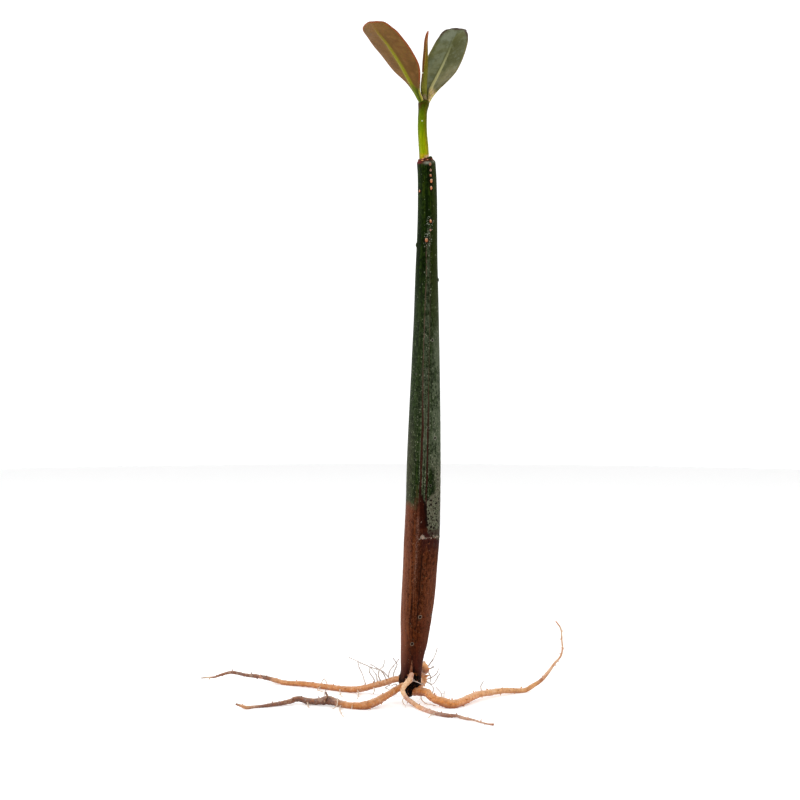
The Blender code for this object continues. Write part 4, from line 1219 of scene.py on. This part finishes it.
def leaf_upper_side(f, along, from_rib, share, cloud, fleck):
    """Grey-green, painted sheen at the left, darker at the right; a pale midrib beside painted groove shade.
    """
    patch = f.noise(0.10, 0.10, 0.10)
    blotch = f.noise(0.4, 0.4, 0.4, 4, 0.6)
    left = from_rib.rise(0.5, -0.5)
    from_margin = (from_rib + 9 + (patch - 0.5) * 3).rise(1.5, 4)
    # Painted sheen: a grey-blue reflection over the left of the blade.
    sheen = left * from_margin * (0.45 + along.rise(20, 30) * 0.55) * (0.55 + cloud * 0.9)
    dark_patch = (1 - left) * along.within(17, 23, 31, 39) * (patch + 0.15).rise(0.35, 0.6)
    low_right = (1 - left) * along.rise(22, 14) * (0.5 + from_rib.rise(1, 6) * 0.5)
    # Painted shade in the groove beside the midrib.
    groove = (from_rib - along * 0.012).near(-1.1, 0.55, 0.15) * along.rise(40, 30)
    rib = (abs(from_rib) - 0.95 + along * 0.017).rise(0.3, -0.3) * along.rise(38, 24)
    stalk = f.mix(share.rise(-0.5, -0.1), LEAF_MOSS, f.mix(fleck.rise(0.45, 0.6), RIB_CREAM, STALK_PINK))
    return f.coats(
        f.mix(cloud.rise(0.40, 0.60), LEAF_OLIVE, LEAF_GREEN),
        (sheen * (1 - along.near(30, 6, 2) * 0.55), LEAF_SHEEN),
        (dark_patch, LEAF_MOSS),
        (low_right * 0.9, LEAF_TAN),
        (blotch.rise(0.46, 0.62) * 0.45, LEAF_MOSS),
        # Painted sheen in pale blotches.
        (blotch.rise(0.48, 0.36) * 0.3, LEAF_SHEEN),
        # Painted shade in the groove.
        (groove * 0.55, LEAF_MOSS),
        (rib, f.ramp(along / TOP_RIB_LENGTH, TOP_RIB_STOPS)),
        ((along + abs(from_rib) * 0.8).rise(9, 5.5), stalk),
    )


def leaf_finish():
    """One look for each side of a leaf, and a dark rim."""
    f = Finish("leaf skin", Specular_IOR_Level=0.12, Coat_Roughness=0.3)
    along, from_rib, to_edge = f.mark("blade")
    upper, share, _ = f.mark("face")
    cloud = f.noise(0.22, 0.22, 0.22, 3, 0.55)
    fleck = f.noise(0.9, 0.9, 0.9, 3, 0.6)
    grit = f.noise(2.6, 2.6, 2.6)
    under = leaf_underside(f, along, from_rib, share, cloud, fleck)
    top = leaf_upper_side(f, along, from_rib, share, cloud, fleck)
    rim = (to_edge + (fleck - 0.5) * 0.35).rise(0.95, 0.35)
    tip_rim = (to_edge + (fleck - 0.5) * 0.5).rise(1.7, 0.9) * along.rise(34, 38) * upper
    rim_colour = f.mix(upper, RIM_RED, f.mix(along.rise(30, 37), LEAF_TAN, RIM_PURPLE))
    colour = f.mix(rim.most(tip_rim) * along.rise(9, 13) * 0.85, f.mix(upper, under, top), rim_colour)
    f.feed(f.shader.inputs["Coat Weight"], upper * 0.22)
    return f.skin(colour, 0.46 - upper * 0.08 + fleck * 0.08, fleck * 0.5 + grit * 0.5, depth=0.07)


def leaf(name, route, azimuth, finish, node):
    """A blade with a rounded rim and a midrib that stands out underneath, on a half-round petiole."""
    samples = smooth_route(route, LEAF_STEP)
    middles = samples[:, :3]
    along = tangents(middles)
    run = run_lengths(middles)[:, None]
    level = np.array((-math.sin(azimuth), math.cos(azimuth), 0.0))
    level *= math.copysign(1.0, level[0])
    across = unit(level - (along @ level)[:, None] * along)
    above = np.cross(across, along)
    above *= np.sign(above[:, 2:])
    ends = np.sin(np.linspace(-math.pi / 2, math.pi / 2, LEAF_ACROSS + 1))
    share = np.concatenate((ends, ends[-2::-1]))[None]
    face = np.concatenate((np.ones(LEAF_ACROSS + 1), np.zeros(LEAF_ACROSS)))[None]
    face[0, 0] = face[0, LEAF_ACROSS] = face[0, -1] = 0.5
    half = np.where(share < 0, samples[:, 3][:, None], samples[:, 4][:, None])
    blade = climb(run, PETIOLE_END, BLADE_START)
    to_tip = run[-1] - run
    rounded = np.sqrt(np.clip(1 - np.abs(share) ** (4 + 10 * blade), 0, 1))
    rim = rounded * np.sqrt(np.clip(to_tip / 0.7, 0.03, 1))
    thick = (LEAF_THICK * blade + PETIOLE_THICK * (1 - blade)) * rim
    offset = share * half
    flat = middles[:, None] + offset[..., None] * across[:, None]
    rib_width = np.clip(1.0 - run * 0.012, 0.3, 1.0)
    rib = bump(offset, 0, rib_width) * blade * climb(to_tip, 0.0, 8.0) * (face < 0.5)
    groove = bump(offset, 0, 0.5) * blade * climb(to_tip, 0.0, 12.0) * (face > 0.5)
    wave = 0.16 * grain(flat, (6.0, 6.0, 6.0), 7.0) * blade
    quilt = 0.03 * grain(flat, (1.6, 1.6, 1.6), 9.0)
    lift = np.abs(share) ** 1.5 * half * math.sin(LEAF_FOLD) + wave
    sign = np.where(face > 0.5, 1.0, -1.0) * (face != 0.5)
    lift = lift + sign * (thick / 2 + quilt * blade * rim) - rib * 0.45 - groove * 0.12
    grid = middles[:, None] + across[:, None] * (offset * math.cos(LEAF_FOLD))[..., None]
    grid = grid + above[:, None] * lift[..., None]
    grid[:, -1] = grid[:, 0]
    shell = Shell()
    shell.add(
        grid,
        blade=stacked(run, offset, np.minimum(half * (1 - np.abs(share)), to_tip + 0.1)),
        face=stacked(face, share, 0.0) * np.ones_like(run)[..., None],
    )
    shell.make(name, finish, [node])


def root_finish(name, stops, shadow):
    """Bark whose colour changes along the root. Stops are distances from the hypocotyl and colours.

    Painted highlight lightens its top; painted shade, as deep as shadow says, darkens its underside.
    """
    f = Finish(name, Specular_IOR_Level=0.4, Coat_Roughness=0.2)
    run, _, radius = f.mark("run")
    _, _, up = f.mark("side")
    longest = stops[-1][0]
    cloud = f.noise(0.3, 0.3, 0.3, 3, 0.6)
    patch = f.noise(0.55, 0.55, 0.55)
    scale = f.noise(1, 1, 1, 4, 0.65)
    fine = f.noise(3, 3, 3, 3)
    bark = f.coats(
        f.ramp((run + (cloud - 0.5) * 6) / longest, [(at / longest, tint) for at, tint in stops]),
        (patch.rise(0.50, 0.66) * 0.35, BARK_SHADE),
        (patch.rise(0.46, 0.34) * 0.25, CREAM),
        (scale.rise(0.50, 0.62) * 0.5, BARK_SHADE),
        (scale.rise(0.44, 0.32) * 0.35, CREAM),
        # Painted highlight: cream on the top of the root.
        ((up + (scale - 0.5) * 1.2).rise(0.5, 1) * 0.25, CREAM),
        (f.specks(1, 1, 1, 0.14, 0.34) * 0.5, CREAM),
        (f.specks(1.1, 1.1, 1.1, 0.22, 0.34) * 0.7, DARK_TIP),
    )
    # Painted shade: the underside darker, less so on thin roots.
    underneath = (up + (scale - 0.5) * 0.9 + (fine - 0.5) * 0.4).rise(0.45, -0.75)
    colour = f.shade(underneath * (0.55 + radius.rise(1.4, 2) * 0.45) * shadow, bark, PAINTED_UNDERSIDE_SHADE)
    f.feed(f.shader.inputs["Coat Weight"], 0.1 + scale * 0.3)
    return f.skin(colour, 0.36 + scale * 0.2, scale * 0.7 + fine * 0.4, depth=0.3)


ROOT_STOPS = {
    "root_front": (
        (0, ROSE), (5, ROSE), (8, CREAM_PEACH), (14, CREAM_PEACH), (17, ROSE), (21, PEACH), (28, TAN),
        (34, ROSE), (47, PURPLE_BROWN), (53, PURPLE_BROWN), (58, PALE_BARK), (72, PALE_BARK), (75, BARK_RED),
    ),
    "root_left_front": (
        (0, COPPER), (36, COPPER), (41, PLUM_BARK), (60, PLUM_BARK), (64, RED_BARK), (69, PURPLE_BROWN),
        (77, PURPLE_BROWN), (80, PALE_BARK), (86, LIGHT_COPPER), (89, DARK_TIP),
    ),
    "root_left_back": (
        (0, COPPER), (12, LIGHT_COPPER), (30, COPPER), (60, COPPER), (73, LIGHT_COPPER), (77, PLUM_BARK),
        (80, PLUM_BARK), (81, ROSE), (82, PLUM_BARK), (93, PLUM_BARK), (98, RED_BARK), (104, RED_BARK),
        (107, CREAM), (110, DARK_TIP),
    ),
    "root_right": (
        (0, DARK_ORANGE), (5, DARK_ORANGE), (10, ORANGE), (34, ORANGE), (60, TAN), (82, TAN), (85, BARK_RED),
        (87, PEACH), (103, PEACH), (112, CREAM), (116, ORANGE),
    ),
    "root_back": (
        (0, GOLD), (5, GOLD), (7.5, DARK_ORANGE), (9.5, PEACH), (12, ORANGE), (14, GOLD), (18, TAN),
        (40, ORANGE), (57, CREAM),
    ),
}
# How strong the painted shade under each root is; the other roots take all of it.
ROOT_SHADOWS = {"root_front": 0.45}


def stubs(shell, grid, run, seed):
    """Short pointed stubs of broken rootlets, scattered over a root."""
    chance = np.random.default_rng(seed)
    for row in range(STUB_MARGIN, len(grid) - STUB_MARGIN, STUB_ROWS):
        row += chance.integers(-3, 4)
        column = chance.integers(0, grid.shape[1] - 1)
        start, length = grid[row, column], chance.uniform(0.4, 1.1)
        outward = unit(start - grid[row, :-1].mean(0))
        tip = start + unit(outward + chance.uniform(-0.6, 0.6, 3)) * length
        middles = (start - outward * 0.3, start + outward * 0.1, tip)
        route = [(*middle, radius) for middle, radius in zip(middles, STUB_RADII)]
        piece, marks = tube_grid(route, 7, 0.2)
        marks["run"][..., 0] = run[row, column]
        shell.add(piece, **marks)


def root(name, route):
    def relief(surface, run, turn, radius):
        lumps = 0.13 * grain(surface, (2.2, 2.2, 2.2)) + 0.09 * grain(surface, (0.9, 0.9, 0.9), 3.0)
        one_side = 0.5 + 0.5 * np.sin(turn + run * 0.4)
        wrinkles = 0.035 * np.sin(run * 3.1 + 1.5 * np.sin(run * 0.9)) * one_side
        return radius * (lumps + wrinkles - 0.03)

    shell = Shell()
    grid, marks = tube_grid(route, ROOT_SIDES, ROOT_STEP, relief)
    shell.add(grid, **marks)
    stubs(shell, grid, marks["run"][..., 0], len(route))
    for base, tip, radius in THORNS.get(name, ()):
        thorn, thorn_marks = tube_grid([(*base, radius), (*tip, THORN_TIP)], THORN_SIDES, THORN_STEP)
        shell.add(thorn, **thorn_marks)
    for twig_route in TWIGS.get(name, ()):
        twig, twig_marks = tube_grid(twig_route, THORN_SIDES, THORN_STEP)
        twig_marks["run"][..., 0] = TWIG_RUN
        shell.add(twig, **twig_marks)
    side = name.removeprefix("root_")
    title = f"bark of the {side.replace('_', ' ')} root"
    material = root_finish(title, ROOT_STOPS[name], ROOT_SHADOWS.get(name, 1.0))
    shell.make(f"{side}_root", material, [name])


def rootlet_finish():
    """Grey-brown, like the bark where a rootlet leaves it, and paler near the ground."""
    f = Finish("rootlet skin", Specular_IOR_Level=0.2)
    run, _, _ = f.mark("run")
    _, _, height = f.parts(f.spot(1, 1, 1))
    cloud = f.noise(0.4, 0.4, 0.4)
    colour = f.coats(
        f.mix(cloud.rise(0.4, 0.6), HAIR_BROWN, HAIR_GREY),
        (run.rise(1.5, 0.2) * 0.8, TAN),
        (height.rise(6, 3) * 0.5, CREAM),
    )
    return f.skin(colour, 0.6, cloud, depth=0.05)


def side_hairs(shell, route, chance):
    """Short curled hairs along a rootlet, thinner than it is."""
    for x, y, z, _ in smooth_route(route, HAIR_SPACING)[1:]:
        away, bend = unit(chance.normal(size=(2, 3)))
        half = chance.uniform(0.4, 1.3)
        start = np.array((x, y, z))
        middle = start + away * half
        end = middle + unit(away + bend) * half
        middle[2], end[2] = max(middle[2], HAIR_LOWEST), max(end[2], HAIR_LOWEST)
        hair = [(*place, radius) for place, radius in zip((start, middle, end), HAIR_RADII)]
        grid, marks = tube_grid(hair, 5, 0.6)
        marks["run"][..., 0] += 1.5
        shell.add(grid, **marks)


def rootlets():
    """The thin side roots, each a little crooked, and the hairs on them."""

    def relief(surface, run, turn, radius):
        return radius * 0.25 * grain(surface, (0.7, 0.7, 0.7), 2.0)

    shell = Shell()
    chance = np.random.default_rng(7)
    for bunch in ROOTLETS.values():
        for points in bunch:
            last = len(points) - 1
            thinning = ROOTLET_RADIUS - ROOTLET_TIP
            route = [(*point, ROOTLET_RADIUS - thinning * i / last) for i, point in enumerate(points)]
            grid, marks = tube_grid(route, ROOTLET_SIDES, ROOTLET_STEP, relief)
            shell.add(grid, **marks)
            side_hairs(shell, route, chance)
    shell.make("rootlets", rootlet_finish())


def main():
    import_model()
    camera()
    studio()
    plain_floor()
    hypocotyl_skin()
    lenticels()
    stem()
    bud()
    leaf_material = leaf_finish()
    leaf("left_leaf_blade", LEFT_LEAF_ROUTE, LEFT_LEAF_AZIMUTH, leaf_material, "leaf_left")
    leaf("right_leaf_blade", RIGHT_LEAF_ROUTE, RIGHT_LEAF_AZIMUTH, leaf_material, "leaf_right")
    for name, route in ROOT_ROUTES.items():
        root(name, route)
    rootlets()


main()
